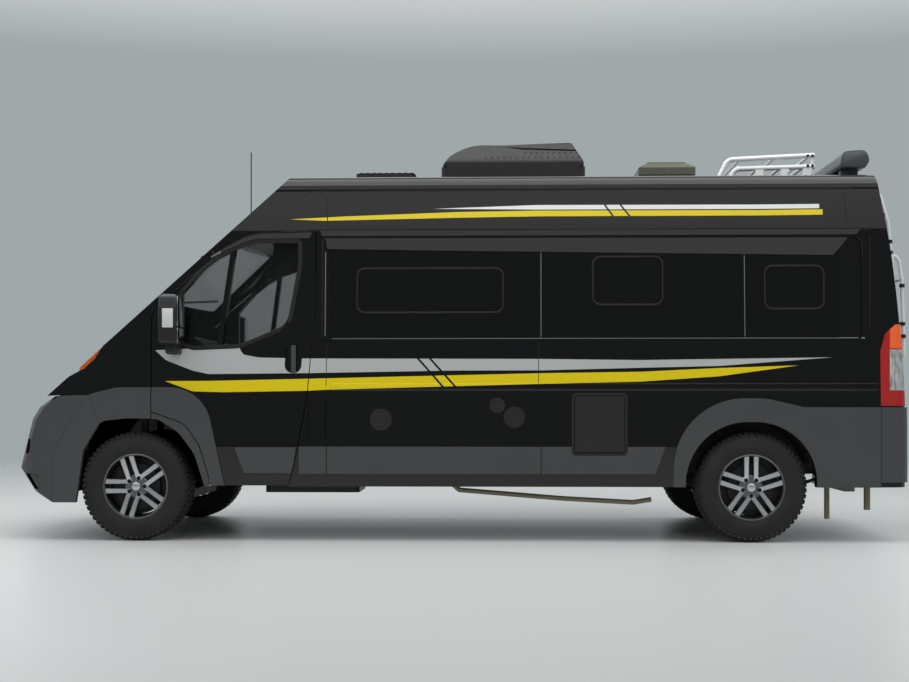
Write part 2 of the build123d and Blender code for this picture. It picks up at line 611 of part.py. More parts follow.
# Rungs: height, distance off the door and radius
RUNGS = ((2090, 66, 10), (1810, 50, 10), (1535, 38, 10), (1290, 30, 10), (1725, 103, 9), (1440, 78, 9))
ladder = None
for y in LADDER_Y:
    for rows, radius in ((STILE, LADDER_R), (FOLDED, LADDER_R - 2)):
        stile = tube([(tail_x(z) + gap, -y, z) for z, gap in rows], radius, LADDER_BEND)
        ladder = stile if ladder is None else ladder + stile
    for z in STANDOFF_Z:
        ladder = ladder + rod(tail_x(z) + 22, -y, z, 9, 56, "X")
    foot_x = tail_x(LADDER_FOOT_Z)
    ladder = ladder + left_half(y - 8, y + 8, foot_x + 18, TAIL_X - 6, LADDER_FOOT_Z - 6, LADDER_FOOT_Z + 50)
for z, gap, radius in RUNGS:
    ladder = ladder + rod(tail_x(z) + gap, -sum(LADDER_Y) / 2, z, radius, LADDER_Y[1] - LADDER_Y[0], "Y")
save("ladder", ladder - OUTER)

# Roof air conditioner: a tray on the roof and a domed cover with a stepped wing on each side
CROWN_R = (SHOULDER_Y**2 + (ROOF_Z - SHOULDER_Z) ** 2) / (2 * (ROOF_Z - SHOULDER_Z))
ROOF_CROWN = rod(2400, 0, ROOF_Z - CROWN_R, CROWN_R, 5000, "X")
AC_X = (1988, 3002)
AC_Y = 350
AC_TRAY_Z = 2572
AC_CORNER = 90
AC_INSET = 14
AC_SIDE = ((AC_X[0] + AC_INSET, 2500), (AC_X[0] + AC_INSET, 2580), (2050, 2650, 200), (2200, 2734, 330),
           (2420, 2730), (2904, 2752, 20), (AC_X[1] - AC_INSET, 2600, 60), (AC_X[1] - AC_INSET, 2500))
AC_SECTION = ((-336, 2500), (-336, 2610, 60), (-230, 2760, 90), (230, 2760, 90), (336, 2610, 60), (336, 2500))
AC_GROOVE = ((2330, 2742), (2560, 2708, 300), (AC_X[1], 2690), (AC_X[1], 2678), (2560, 2694, 300), (2330, 2728))


def plan_corners(x0, x1, y, radius):
    """Plan rectangle, even about the centre line, with rounded corners."""
    return ((x0, -y, radius), (x1, -y, radius), (x1, y, radius), (x0, y, radius))


tray = plan_prism(plan_corners(*AC_X, AC_Y, AC_CORNER), 2440, AC_TRAY_Z) - ROOF_CROWN
dome = side_prism(AC_SIDE, -AC_Y, AC_Y) & cross_prism(AC_SECTION, 1900, 3100)
dome = dome & box(*AC_X, -AC_Y, AC_Y, AC_TRAY_Z, 2800)
groove = side_prism(AC_GROOVE, -400, 400) - box(1900, 3100, -262, 262, 2400, 2900)
save("air_conditioner", tray + (dome - groove))

VENT_X = (3392, 3784)
VENT_Y = 196
VENT_RIM_Z = 2520
vent_base = box(*VENT_X, -VENT_Y, VENT_Y, 2400, VENT_RIM_Z) - box(VENT_X[0] + 14, VENT_X[1] - 14, 14 - VENT_Y, VENT_Y - 14, 2490, 2600)
vent_base = vent_base - OUTER
fan = box(1372, 1798, -212, 212, 2400, 2545)
fan = fillet(fan.edges().filter_by(Axis.Z), 60) - OUTER
ANTENNA_X = 586
ANTENNA_TOP = 2736
mast = rod(ANTENNA_X, 0, (2090 + ANTENNA_TOP) / 2, 4, ANTENNA_TOP - 2090, "Z") + rod(ANTENNA_X, 0, 2160, 16, 120, "Z")
mast = mast - OUTER
save("roof_fittings", vent_base, fan, mast)
LID_Z = (VENT_RIM_Z + GAP, 2622)
LID_LAP = 6
lid = box(VENT_X[0] - LID_LAP, VENT_X[1] + LID_LAP, -VENT_Y - LID_LAP, VENT_Y + LID_LAP, *LID_Z)
lid = chamfer(lid.edges().group_by(Axis.Z)[-1], 45, 70)
lid = fillet(lid.edges().filter_by(Axis.Z), 30)
save("vent_lid", lid)

# Rear awning case across the back of the roof, on three brackets
AWNING = ((4672, 2500, 30), (4694, 2590, 40), (4848, 2602, 50), (4872, 2528, 40), (4842, 2481, 12), (4688, 2481, 12))
AWNING_Y = 720
AWNING_FOOT_X = (4700, 4815)
AWNING_FOOT_Y = (-600, 0, 600)
awning = side_prism(AWNING, -AWNING_Y, AWNING_Y)
for y in AWNING_FOOT_Y:
    awning = awning + (box(*AWNING_FOOT_X, y - 30, y + 30, 2400, 2484) - OUTER)
save("rear_awning", awning)

# Luggage rack: two rails a side bent down at the front, cross tubes and slanted feet
RACK_Y = 500
RACK_END_X = 4552
RAIL_R = 17
TOP_RAIL = ((3897, 2440), (3962, 2575), (RACK_END_X, 2603))
LOW_RAIL = ((3972, 2440), (4012, 2512), (RACK_END_X, 2526))
RACK_FEET = ((4140, 4196), (4312, 4362), (4462, 4522))
CROSS_TUBES = ((4030, 2526), (4180, 2526), (4330, 2526), (4480, 2526), (4060, 2590), (4290, 2595), (4520, 2602))
rack = None
for y in (-RACK_Y, RACK_Y):
    for rows in (TOP_RAIL, LOW_RAIL):
        rail = tube([(x, y, z) for x, z in rows], RAIL_R, 60)
        rack = rail if rack is None else rack + rail
    for front, rear in RACK_FEET:
        foot = ((front, 2440), (rear, 2440), (rear + 16, 2526), (front + 16, 2526))
        rack = rack + side_prism(foot, y - 14, y + 14)
    rack = rack + box(RACK_END_X - 22, RACK_END_X - 6, y - 12, y + 12, 2526, 2603)
for x, z in CROSS_TUBES:
    rack = rack + rod(x, 0, z, 10, 2 * RACK_Y, "Y")
save("luggage_rack", rack - OUTER)

# Floor with its rails, cross-members, sills and rear wheel boxes
FLOOR_X = (492, 4972)
FLOOR_Y = 932
BOX_Y = 640
floor_slab = box(*FLOOR_X, -FLOOR_Y, FLOOR_Y, FLOOR_Z - FLOOR_T, FLOOR_Z) & envelope(WALL + 4)
wheel_box_space = grown(REAR_ARCH, 4, -1000, -BOX_Y)
wheel_box = grown(REAR_ARCH, 4 + ARCH_T, -FLOOR_Y, -BOX_Y + ARCH_T) & left_half(0, 1000, 3500, 4600, FLOOR_Z - FLOOR_T, 900)
floor_slab = floor_slab - wheel_box_space - mirrored(wheel_box_space)
wheel_box = wheel_box - wheel_box_space
rail = left_half(RAIL_Y - RAIL_W / 2, RAIL_Y + RAIL_W / 2, 520, 4880, FLOOR_Z - FLOOR_T - RAIL_H, FLOOR_Z - FLOOR_T)
sill = left_half(890, 950, 560, 3560, 400, FLOOR_Z - FLOOR_T) & envelope(WALL + 4)
sill = sill - wheel_box_space
CROSS_X = (700, 1450, 2200, 2950, 3500, 4560)
chassis_rails = rail + mirrored(rail)
for x in CROSS_X:
    chassis_rails = chassis_rails + box(x, x + 60, -RAIL_Y, RAIL_Y, FLOOR_Z - FLOOR_T - 70, FLOOR_Z - FLOOR_T)
floor_pan = floor_slab - rear_bumper
wheel_box = wheel_box - floor_pan
save("floor_pan", floor_pan)
save("chassis_rails", chassis_rails - rear_bumper)
save("wheel_boxes", *both(wheel_box))
save("sills", *both(sill))

# Front subframe: cradle, rails out to the bumper beam, engine mounts and lower arms with their ball pins
FRONT_RAIL_Y = (380, 450)
FRONT_RAIL_Z = (430, 520)
BEAM_Z = (505, 620)
ARM_Z = (250, 282)
ENGINE = ((-480, 60), (-330, 330), (540, 920))
ENGINE_MOUNT_X = (-380, -40)
MOUNT_W = 60
PIN_TOP_Z = 291
subframe = box(-180, 240, -430, 430, 240, 300) - box(-80, 140, -250, 250, 200, 320)
side_frame = left_half(*FRONT_RAIL_Y, -860, 520, *FRONT_RAIL_Z)
side_frame = side_frame + left_half(400, KINGPIN_Y + 20, -40, 40, *ARM_Z)
side_frame = side_frame + rod(0, -KINGPIN_Y, (ARM_Z[0] + PIN_TOP_Z) / 2, 14, PIN_TOP_Z - ARM_Z[0], "Z")
for x in (-170, 170):
    side_frame = side_frame + left_half(340, 420, x, x + 60, 300, FRONT_RAIL_Z[0])
for x in ENGINE_MOUNT_X:
    side_frame = side_frame + left_half(280, FRONT_RAIL_Y[1], x - MOUNT_W / 2, x + MOUNT_W / 2, 500, ENGINE[2][0])
beam = box(-1000, -830, -FRONT_RAIL_Y[1], FRONT_RAIL_Y[1], *BEAM_Z) & nose_form(BUMPER_T)
subframe = subframe + side_frame + mirrored(side_frame) + beam
save("front_subframe", subframe - floor_pan)

engine = chamfer(box(*ENGINE[0], *ENGINE[1], *ENGINE[2]).edges().filter_by(Axis.X), 60)
save("engine", engine)

# Knuckles: upright, spindle and the strut up to the wheelhouse roof
HUB_FACE_Y = WHEEL_Y + 10
UPRIGHT_Z = (PIN_TOP_Z + 1, 470)
STRUT_Z = (455, 804)
upright = left_half(KINGPIN_Y - 26, KINGPIN_Y + 34, -52, 52, *UPRIGHT_Z)
spindle = rod(0, -(KINGPIN_Y + HUB_FACE_Y) / 2, TYRE_R, SPINDLE_R, HUB_FACE_Y - KINGPIN_Y, "Y")
strut = rod(0, -KINGPIN_Y, sum(STRUT_Z) / 2, 24, STRUT_Z[1] - STRUT_Z[0], "Z")
knuckle = upright + spindle + strut
save("left_knuckle", knuckle)
save("right_knuckle", mirrored(knuckle))

# Rear axle with its springs
AXLE_R = 45
axle = rod(WHEELBASE, 0, TYRE_R, AXLE_R, 1500, "Y") + rod(WHEELBASE, 0, TYRE_R, SPINDLE_R, 2 * HUB_FACE_Y, "Y")
SPRING_Y = 560
SPRING_X = (3460, 4660)
SPRING_W = 70
leaf_low = ThreePointArc((SPRING_X[0], 0, 430), (WHEELBASE, 0, 296), (SPRING_X[1], 0, 430))
leaf_high = ThreePointArc((SPRING_X[1], 0, 444), (WHEELBASE, 0, 314), (SPRING_X[0], 0, 444))
leaf_face = make_face([leaf_low, Line(leaf_low @ 1, leaf_high @ 0), leaf_high, Line(leaf_high @ 1, leaf_low @ 0)])
leaf = across(leaf_face, -SPRING_Y - SPRING_W / 2, -SPRING_Y + SPRING_W / 2)
hangers = [left_half(RAIL_Y - 20, SPRING_Y + SPRING_W / 2 + 6, x - 30, x + 30, 420, FLOOR_Z - FLOOR_T) for x in SPRING_X]
saddle = left_half(SPRING_Y - 40, SPRING_Y + 40, WHEELBASE - 60, WHEELBASE + 60, 290, TYRE_R)
side_spring = leaf + saddle
for hanger in hangers:
    side_spring = side_spring + hanger
side_spring = side_spring - floor_pan - chassis_rails
axle = axle + side_spring + mirrored(side_spring)
save("rear_axle", axle)

# Exhaust, waste tank and hitch receiver
exhaust = tube([(520, 180, 470), (700, 180, 400), (2100, 180, 360), (2400, 300, 360), (3300, 300, 330), (3420, 420, 330)], 30, 90)
muffler = fillet(box(2450, 3050, 190, 400, 300, 420).edges().filter_by(Axis.X), 50)
# Hangers: x, y, foot and top
for x, y, foot, top in ((1480, 180, 380, 430), (2520, 300, 400, 500), (2980, 300, 400, 500)):
    exhaust = exhaust + box(x - 10, x + 10, y - 10, y + 10, foot, top)
exhaust = (exhaust + muffler) - floor_pan - chassis_rails
save("exhaust", exhaust)
TANK = ((760, 1420), (-420, 60), (283, 500))
tank = fillet(box(TANK[0][0], TANK[0][1], *TANK[1], *TANK[2]).edges().filter_by(Axis.Z), 40)
save("waste_tank", tank - floor_pan - chassis_rails)
SOCKET = 50.8
SOCKET_WALL = 6.4
HITCH_X = (4700, 5080)
HITCH_Z = 330
PIN_R = 8
PIN_X = HITCH_X[1] - 65
tube_half = SOCKET / 2 + SOCKET_WALL
hitch = box(*HITCH_X, -tube_half, tube_half, HITCH_Z - tube_half, HITCH_Z + tube_half)
hitch = hitch + box(4760, 4830, -RAIL_Y - 20, RAIL_Y + 20, HITCH_Z - 30, HITCH_Z + 30)
hitch = hitch - box(4900, HITCH_X[1] + 1, -SOCKET / 2, SOCKET / 2, HITCH_Z - SOCKET / 2, HITCH_Z + SOCKET / 2)
hitch = hitch - rod(PIN_X, 0, HITCH_Z, PIN_R, 200, "Y")
hangers = [box(4760, 4830, y - 8, y + 8, HITCH_Z, FLOOR_Z - FLOOR_T - RAIL_H) for y in (-RAIL_Y, RAIL_Y)]
for hanger in hangers:
    hitch = hitch + hanger
save("hitch_receiver", hitch)

# Cab: dashboard with its steering wheel, and two seats
DASH = ((335, 1082), (485, 985, 20), (505, 1120), (470, 1260, 40), (360, 1350, 40), (102, 1402), (262, 1132))
dash = side_prism(DASH, -870, 870) - firewall
STEER = (640, -430, 1190)
ring = Pos(*STEER) * Rot(0, 28, 0) * Torus(185, 14)
hub = Pos(*STEER) * Rot(0, 28, 0) * Cylinder(60, 34)
spokes = Pos(*STEER) * Rot(0, 28, 0) * (Box(370, 36, 14) + Box(36, 370, 14))
column = tube([(STEER[0], STEER[1], STEER[2]), (430, STEER[1], 1095)], 32, 1)
dash = dash + ring + hub + spokes + column
save("dashboard", dash)

SEAT_Y = 440
cushion = fillet(left_half(SEAT_Y - 240, SEAT_Y + 240, 860, 1360, 790, 910).edges().filter_by(Axis.Y), 45)
BACK = ((1270, 880, 30), (1390, 880, 30), (1520, 1470, 35), (1430, 1490, 35))
back = side_prism(BACK, -SEAT_Y - 230, -SEAT_Y + 230)
headrest = side_prism(((1450, 1510, 20), (1535, 1500, 20), (1560, 1680, 25), (1480, 1690, 25)), -SEAT_Y - 130, -SEAT_Y + 130)
posts = tube([(1475, -SEAT_Y, 1440), (1500, -SEAT_Y, 1560)], 8, 1)
pedestal = left_half(SEAT_Y - 190, SEAT_Y + 190, 920, 1320, FLOOR_Z, 790)
seat = cushion + back + headrest + posts + pedestal
save("cab_seats", *both(seat))

# Living space: galley on the left, wash room on the right, side sofas over the wheel boxes, lockers above
galley = left_half(430, 925, 1700, 2700, FLOOR_Z, 1180)
washroom = box(2760, 3480, 300, 920, FLOOR_Z, 1990)
sofa = left_half(430, 920, 3520, 4780, FLOOR_Z, 1000) - wheel_box - wheel_box_space
sofa = sofa - left_half(600, 1000, 3560, 4500, FLOOR_Z, 880)
locker = left_half(560, 880, 1600, 4700, 2010, 2300) & envelope(WALL + 4)
save("living_units", galley, washroom, *both(sofa), *both(locker))

# Wheels: tyre and rim, the same at all four corners
HALF_W = TYRE_W / 2
TREAD_HALF = 92


def tyre_section():
    """Half of the tyre's cut face, in distance from the axle and across the tread."""
    rows = ((RIM_R, -HALF_W + 12), (RIM_R + 40, -HALF_W), (TYRE_R - 50, -HALF_W), (TYRE_R - 8, -TREAD_HALF),
            (TYRE_R, -TREAD_HALF + 22), (TYRE_R, TREAD_HALF - 22), (TYRE_R - 8, TREAD_HALF),
            (TYRE_R - 50, HALF_W), (RIM_R + 40, HALF_W), (RIM_R, HALF_W - 12))
    return make_face(Polyline(*[(r, y, 0) for r, y in rows], close=True))


tyre = revolve(tyre_section(), axis=Axis.Y)
RIM_FACE = 88
BORE_R = SPINDLE_R + HUB_CLEARANCE
SPOKE_W = 34
SPOKE_APART = 62
SPOKE_T = 26
CAP_R = 30


def rim_shape():
    """Rim with five pairs of parallel spokes, hub and cap; its outer face looks along -Y."""
    rows = ((RIM_R, -HALF_W + 12), (RIM_R, HALF_W - 12), (RIM_R - 12, HALF_W - 12), (RIM_R - 14, 40),
            (RIM_R - 34, 10), (RIM_R - 20, -HALF_W + 30), (RIM_R - 10, -HALF_W + 12))
    barrel = revolve(make_face(Polyline(*[(r, y, 0) for r, y in rows], close=True)), axis=Axis.Y)
    shape = barrel + Pos(0, -RIM_FACE + 40, 0) * Cylinder(86, 64, rotation=(90, 0, 0))
    for pair in range(5):
        for side in (-1, 1):
            bar = Pos((RIM_R - 8) / 2 + 10, -RIM_FACE + 24, side * SPOKE_APART / 2) * Box(RIM_R - 8, SPOKE_T, SPOKE_W)
            bar = bar & Cylinder(RIM_R - 2, 400, rotation=(90, 0, 0))
            shape = shape + Rot(0, pair * 72, 0) * bar
    return shape - Pos(0, 30, 0) * Cylinder(BORE_R, 140, rotation=(90, 0, 0))


rim = rim_shape()
# Axles: name, distance from the front axle and the angle at which the wheels came to rest
for end, x, rest in (("front", 0, 180), ("rear", WHEELBASE, -90)):
    for side, y, turn in (("left", -WHEEL_Y, 0), ("right", WHEEL_Y, 180)):
        place = Pos(x, y, TYRE_R) * Rot(0, 0, turn) * Rot(0, rest, 0)
        save(f"{side}_{end}_tyre", place * tyre)
        save(f"{side}_{end}_rim", place * rim)
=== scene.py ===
import json
from math import atan2, cos, pi, radians, sin, sqrt, tan

import bmesh
import bpy
from mathutils import Matrix, Vector
from mathutils.bvhtree import BVHTree


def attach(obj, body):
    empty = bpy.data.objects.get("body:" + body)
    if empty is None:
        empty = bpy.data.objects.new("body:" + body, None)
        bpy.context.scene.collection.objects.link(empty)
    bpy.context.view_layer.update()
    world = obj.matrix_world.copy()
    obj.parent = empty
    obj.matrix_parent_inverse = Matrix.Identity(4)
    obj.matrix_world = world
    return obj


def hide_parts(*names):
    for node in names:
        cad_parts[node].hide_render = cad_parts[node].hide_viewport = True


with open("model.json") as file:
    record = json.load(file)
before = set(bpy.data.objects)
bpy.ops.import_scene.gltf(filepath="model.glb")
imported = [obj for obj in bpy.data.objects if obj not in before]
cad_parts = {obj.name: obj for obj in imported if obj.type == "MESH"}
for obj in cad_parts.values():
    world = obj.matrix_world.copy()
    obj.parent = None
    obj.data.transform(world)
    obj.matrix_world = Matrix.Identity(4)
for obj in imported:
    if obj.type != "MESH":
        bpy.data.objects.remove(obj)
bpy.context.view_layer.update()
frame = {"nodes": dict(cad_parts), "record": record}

# Camper van, in metres: X towards the tail, Y towards the van's right side, Z up from the ground.
NODES = frame["nodes"]
MID = 2.06944
FRONT_AXLE = -MID
REAR_AXLE = 4.035 - MID
WHEEL_Y = 0.905
TYRE_R = 0.358
SIDES = (("left", -1), ("right", 1))


def at(x):
    """Distance behind the front axle turned into the frame's X."""
    return x - MID


# Finishes


def srgb(red, green, blue):
    """Colour as seen, 0 to 255, made linear."""
    def channel(value):
        value /= 255
        return value / 12.92 if value <= 0.04045 else ((value + 0.055) / 1.055) ** 2.4
    return (channel(red), channel(green), channel(blue), 1.0)


# A stripe's edge fades over this height
STRIPE_FADE = 0.0008


class Finish:
    """A material with the few kinds of node that the van's finishes are made of."""

    def __init__(self, name, color, roughness, **sockets):
        self.material = bpy.data.materials.new(name)
        self.material.use_nodes = True
        self.nodes = self.material.node_tree.nodes
        self.links = self.material.node_tree.links
        self.shader = self.nodes["Principled BSDF"]
        self.shader.inputs["Base Color"].default_value = color
        self.shader.inputs["Roughness"].default_value = roughness
        for socket, value in sockets.items():
            self.shader.inputs[socket.replace("_", " ")].default_value = value
        self.place = self.nodes.new("ShaderNodeTexCoord").outputs["Object"]

    def put(self, socket, value):
        """Give a node's socket a number or colour, or link another node's output to it."""
        if isinstance(value, bpy.types.NodeSocket):
            self.links.new(value, socket)
        else:
            socket.default_value = value

    def math(self, operation, first, second=0.0, third=0.0, clamp=False):
        """One sum on two values, or on three for a product with something added."""
        node = self.nodes.new("ShaderNodeMath")
        node.operation = operation
        node.use_clamp = clamp
        for socket, value in zip(node.inputs, (first, second, third)):
            self.put(socket, value)
        return node.outputs[0]

    def between(self, value, low, high):
        """One where the value lies between low and high, and nothing elsewhere."""
        return self.math("MULTIPLY", self.math("GREATER_THAN", value, low), self.math("LESS_THAN", value, high))

    def mix(self, share, first, second):
        """Colour between first and second."""
        node = self.nodes.new("ShaderNodeMix")
        node.data_type = "RGBA"
        self.put(node.inputs["Factor"], share)
        self.put(node.inputs["A"], first)
        self.put(node.inputs["B"], second)
        return node.outputs["Result"]

    def noise(self, scale, detail=2.0, stretch=(1, 1, 1)):
        """Cloudy pattern, finer with a larger scale."""
        turn = self.nodes.new("ShaderNodeMapping")
        turn.inputs["Scale"].default_value = stretch
        self.links.new(self.place, turn.inputs["Vector"])
        node = self.nodes.new("ShaderNodeTexNoise")
        node.inputs["Scale"].default_value = scale
        node.inputs["Detail"].default_value = detail
        self.links.new(turn.outputs["Vector"], node.inputs["Vector"])
        return node.outputs["Fac"]

    def spread(self, value, low, high, start=0.3, stop=0.7):
        """Value between start and stop turned into a number between low and high."""
        node = self.nodes.new("ShaderNodeMapRange")
        limits = {"From Min": start, "From Max": stop, "To Min": low, "To Max": high}
        for socket, number in limits.items():
            node.inputs[socket].default_value = number
        self.put(node.inputs["Value"], value)
        return node.outputs["Result"]

    def bump(self, height, depth):
        """Raise the surface by up to depth metres."""
        node = self.nodes.new("ShaderNodeBump")
        node.inputs["Strength"].default_value = 1.0
        node.inputs["Distance"].default_value = depth
        self.links.new(height, node.inputs["Height"])
        if self.shader.inputs["Normal"].is_linked:
            self.links.new(self.shader.inputs["Normal"].links[0].from_socket, node.inputs["Normal"])
        self.links.new(node.outputs["Normal"], self.shader.inputs["Normal"])

    def split(self):
        """The three distances of a point, with the distance from the centre line made positive."""
        node = self.nodes.new("ShaderNodeSeparateXYZ")
        self.links.new(self.place, node.inputs[0])
        return node.outputs[0], self.math("ABSOLUTE", node.outputs[1]), node.outputs[2]

    def line_height(self, x, rows):
        """Height of a broken line at x; its rows are x and z."""
        low, high = rows[0][0], rows[-1][0]
        base = min(z for _, z in rows)
        reach = max(z for _, z in rows) - base
        node = self.nodes.new("ShaderNodeFloatCurve")
        curve = node.mapping.curves[0]
        for _ in rows[2:]:
            curve.points.new(0.5, 0.5)
        for point, (row_x, row_z) in zip(curve.points, rows):
            point.location = ((row_x - low) / (high - low), (row_z - base) / reach)
            point.handle_type = "VECTOR"
        node.mapping.update()
        self.links.new(self.spread(x, 0, 1, low, high), node.inputs["Value"])
        return self.math("MULTIPLY_ADD", node.outputs[0], reach, base)

    def band(self, x, z, top, bottom):
        """One between two broken lines and nothing outside them."""
        share = self.between(x, top[0][0], top[-1][0])
        for rows, sign in ((top, 1), (bottom, -1)):
            gap = self.math("SUBTRACT", self.line_height(x, rows), z)
            share = self.math("MULTIPLY", share, self.math("MULTIPLY", gap, sign / STRIPE_FADE, clamp=True))
        return share

    def slash(self, x, z, start, stop, width):
        """One within a slanted line from start to stop."""
        lean = (stop[0] - start[0]) / (stop[1] - start[1])
        offset = self.math("SUBTRACT", self.math("SUBTRACT", x, start[0]),
                           self.math("MULTIPLY", self.math("SUBTRACT", z, start[1]), lean))
        near = self.math("LESS_THAN", self.math("ABSOLUTE", offset), width / 2)
        return self.math("MULTIPLY", near, self.between(z, *sorted((start[1], stop[1]))))

    def tint(self, color):
        """Link the base colour."""
        self.put(self.shader.inputs["Base Color"], color)

    def rough(self, value):
        """Link the roughness."""
        self.put(self.shader.inputs["Roughness"], value)


BLACK = srgb(5, 5, 6)
SILVER = srgb(186, 188, 188)
YELLOW = srgb(232, 208, 18)
WHITE = srgb(236, 238, 238)

# Edges of the stripes: x and z
SILVER_TOP = ((-1.935, 1.255), (-1.38, 1.279), (-1.357, 1.227), (-1.251, 1.206), (-0.961, 1.2),
              (0.598, 1.195), (1.24, 1.187), (1.757, 1.194), (2.495, 1.204))
SILVER_BOTTOM = ((-1.935, 1.255), (-1.862, 1.188), (-1.687, 1.12), (-1.58, 1.097), (-0.919, 1.103),
                 (0.024, 1.119), (0.598, 1.12), (1.24, 1.136), (1.757, 1.148), (2.495, 1.204))
YELLOW_TOP = ((-1.871, 1.052), (-1.58, 1.053), (-0.919, 1.067), (0.024, 1.089), (0.598, 1.102), (1.24, 1.111),
              (1.757, 1.135), (2.269, 1.152))
YELLOW_BOTTOM = ((-1.871, 1.052), (-1.687, 0.983), (-1.483, 0.978), (-0.942, 0.987), (-0.801, 0.994),
                 (0.598, 1.032), (1.24, 1.046), (1.757, 1.081), (2.269, 1.152))
UPPER_WHITE_TOP = ((-0.124, 2.183), (0.573, 2.206), (2.026, 2.203), (2.409, 2.205))
UPPER_WHITE_BOTTOM = ((-0.124, 2.183), (0.573, 2.175), (2.026, 2.173), (2.409, 2.176))
UPPER_YELLOW_TOP = ((-1.056, 2.117), (-0.671, 2.136), (0.069, 2.162), (0.573, 2.169), (2.026, 2.166),
                    (2.43, 2.17))
UPPER_YELLOW_BOTTOM = ((-1.056, 2.117), (-0.827, 2.106), (0.069, 2.123), (0.573, 2.13), (2.026, 2.13),
                       (2.43, 2.133))
# Slanted breaks in the stripes: start, stop and width
SLASHES = (((-0.204, 1.198), (-0.041, 1.013), 0.017), ((-0.125, 1.197), (0.041, 1.013), 0.017),
           ((1.007, 2.218), (1.073, 2.125), 0.014), ((1.11, 2.216), (1.18, 2.127), 0.014))
# Only the flanks wear the stripes: the skin lies at least this far from the centre line there
LOWER_STRIPE_Y = 1.0
UPPER_STRIPE_Y = 0.945


def paint_finish():
    """Deep black lacquer with the silver, yellow and white stripes on both flanks."""
    paint = Finish("black_lacquer", BLACK, 0.28, Coat_Weight=1.0, Coat_Roughness=0.025,
                   Specular_IOR_Level=0.0)
    x, y, z = paint.split()
    breaks = None
    for start, stop, width in SLASHES:
        line = paint.slash(x, z, start, stop, width)
        breaks = line if breaks is None else paint.math("MAXIMUM", breaks, line)
    whole = paint.math("SUBTRACT", 1.0, breaks)
    lower = paint.math("MULTIPLY", whole, paint.math("GREATER_THAN", y, LOWER_STRIPE_Y))
    upper = paint.math("MULTIPLY", whole, paint.math("GREATER_THAN", y, UPPER_STRIPE_Y))
    color = BLACK
    for top, bottom, side, tone in ((SILVER_TOP, SILVER_BOTTOM, lower, SILVER),
                                    (YELLOW_TOP, YELLOW_BOTTOM, lower, YELLOW),
                                    (UPPER_WHITE_TOP, UPPER_WHITE_BOTTOM, upper, WHITE),
                                    (UPPER_YELLOW_TOP, UPPER_YELLOW_BOTTOM, upper, YELLOW)):
        color = paint.mix(paint.math("MULTIPLY", paint.band(x, z, top, bottom), side), color, tone)
    paint.tint(color)
    paint.bump(paint.noise(140, 1.0), 0.00003)
    paint.bump(paint.noise(2.2, 1.0, (1, 1, 1.8)), 0.0012)
    return paint.material


PLASTIC_GRAIN = 900
GLASS_ROUGHNESS = 0.02


def grained_finish(name, color, roughness, depth=0.00012, shade=0.12):
    """Moulded plastic with a fine grain and a slight change of tone over the piece."""
    plastic = Finish(name, color, roughness, Specular_IOR_Level=0.45)
    dark = tuple(c * (1 - shade) for c in color[:3]) + (1.0,)
    plastic.tint(plastic.mix(plastic.spread(plastic.noise(3.0, 4.0), 0, 1), dark, color))
    plastic.rough(plastic.spread(plastic.noise(18, 3.0), roughness - 0.05, roughness + 0.06))
    plastic.bump(plastic.noise(PLASTIC_GRAIN, 1.0), depth)
    return plastic.material


def metal_finish(name, color, roughness, grain=220):
    """Lacquered or bare metal with a faint cloud in its gloss."""
    metal = Finish(name, color, roughness, Metallic=1.0)
    metal.rough(metal.spread(metal.noise(grain, 2.0), roughness - 0.05, roughness + 0.08))
    metal.bump(metal.noise(grain * 3, 1.0), 0.00004)
    return metal.material


def glass_finish(name, color, clear):
    """Glazing: a dark tint that lets through the share given by clear."""
    glass = Finish(name, color, GLASS_ROUGHNESS, Alpha=1 - clear, IOR=1.5)
    glass.rough(glass.spread(glass.noise(5, 2.0), GLASS_ROUGHNESS, 2 * GLASS_ROUGHNESS))
    glass.material.surface_render_method = "BLENDED"
    return glass.material


def underbody_finish(name, color, roughness):
    """Chassis paint with dried road dust on it."""
    coat = Finish(name, color, roughness)
    dust = srgb(70, 66, 60)
    coat.tint(coat.mix(coat.spread(coat.noise(6, 6.0), 0, 0.45, 0.45, 0.75), color, dust))
    coat.bump(coat.noise(260, 3.0), 0.0003)
    return coat.material


def rubber_finish():
    """Tyre rubber, dull, with a faint grey bloom."""
    rubber = Finish("tyre_rubber", srgb(24, 24, 25), 0.72)
    rubber.tint(rubber.mix(rubber.spread(rubber.noise(9, 5.0), 0, 1), srgb(11, 11, 12), srgb(24, 24, 25)))
    rubber.bump(rubber.noise(700, 2.0), 0.00015)
    return rubber.material


def cloth_finish(name, color):
    """Woven seat cloth."""
    cloth = Finish(name, color, 0.9, Sheen_Weight=0.3)
    lighter = tuple(min(1.0, c * 1.5) for c in color[:3]) + (1.0,)
    weave = cloth.noise(420, 0.0, (1, 1, 3))
    cloth.tint(cloth.mix(cloth.spread(weave, 0, 1), color, lighter))
    cloth.bump(weave, 0.0004)
    return cloth.material


def board_finish():
    """Laminated furniture board with a long pale grain."""
    board = Finish("cabin_board", srgb(150, 118, 86), 0.45)
    grain = board.noise(14, 6.0, (0.25, 1, 4))
    board.tint(board.mix(board.spread(grain, 0, 1), srgb(128, 98, 70), srgb(168, 136, 102)))
    board.bump(grain, 0.0002)
    return board.material


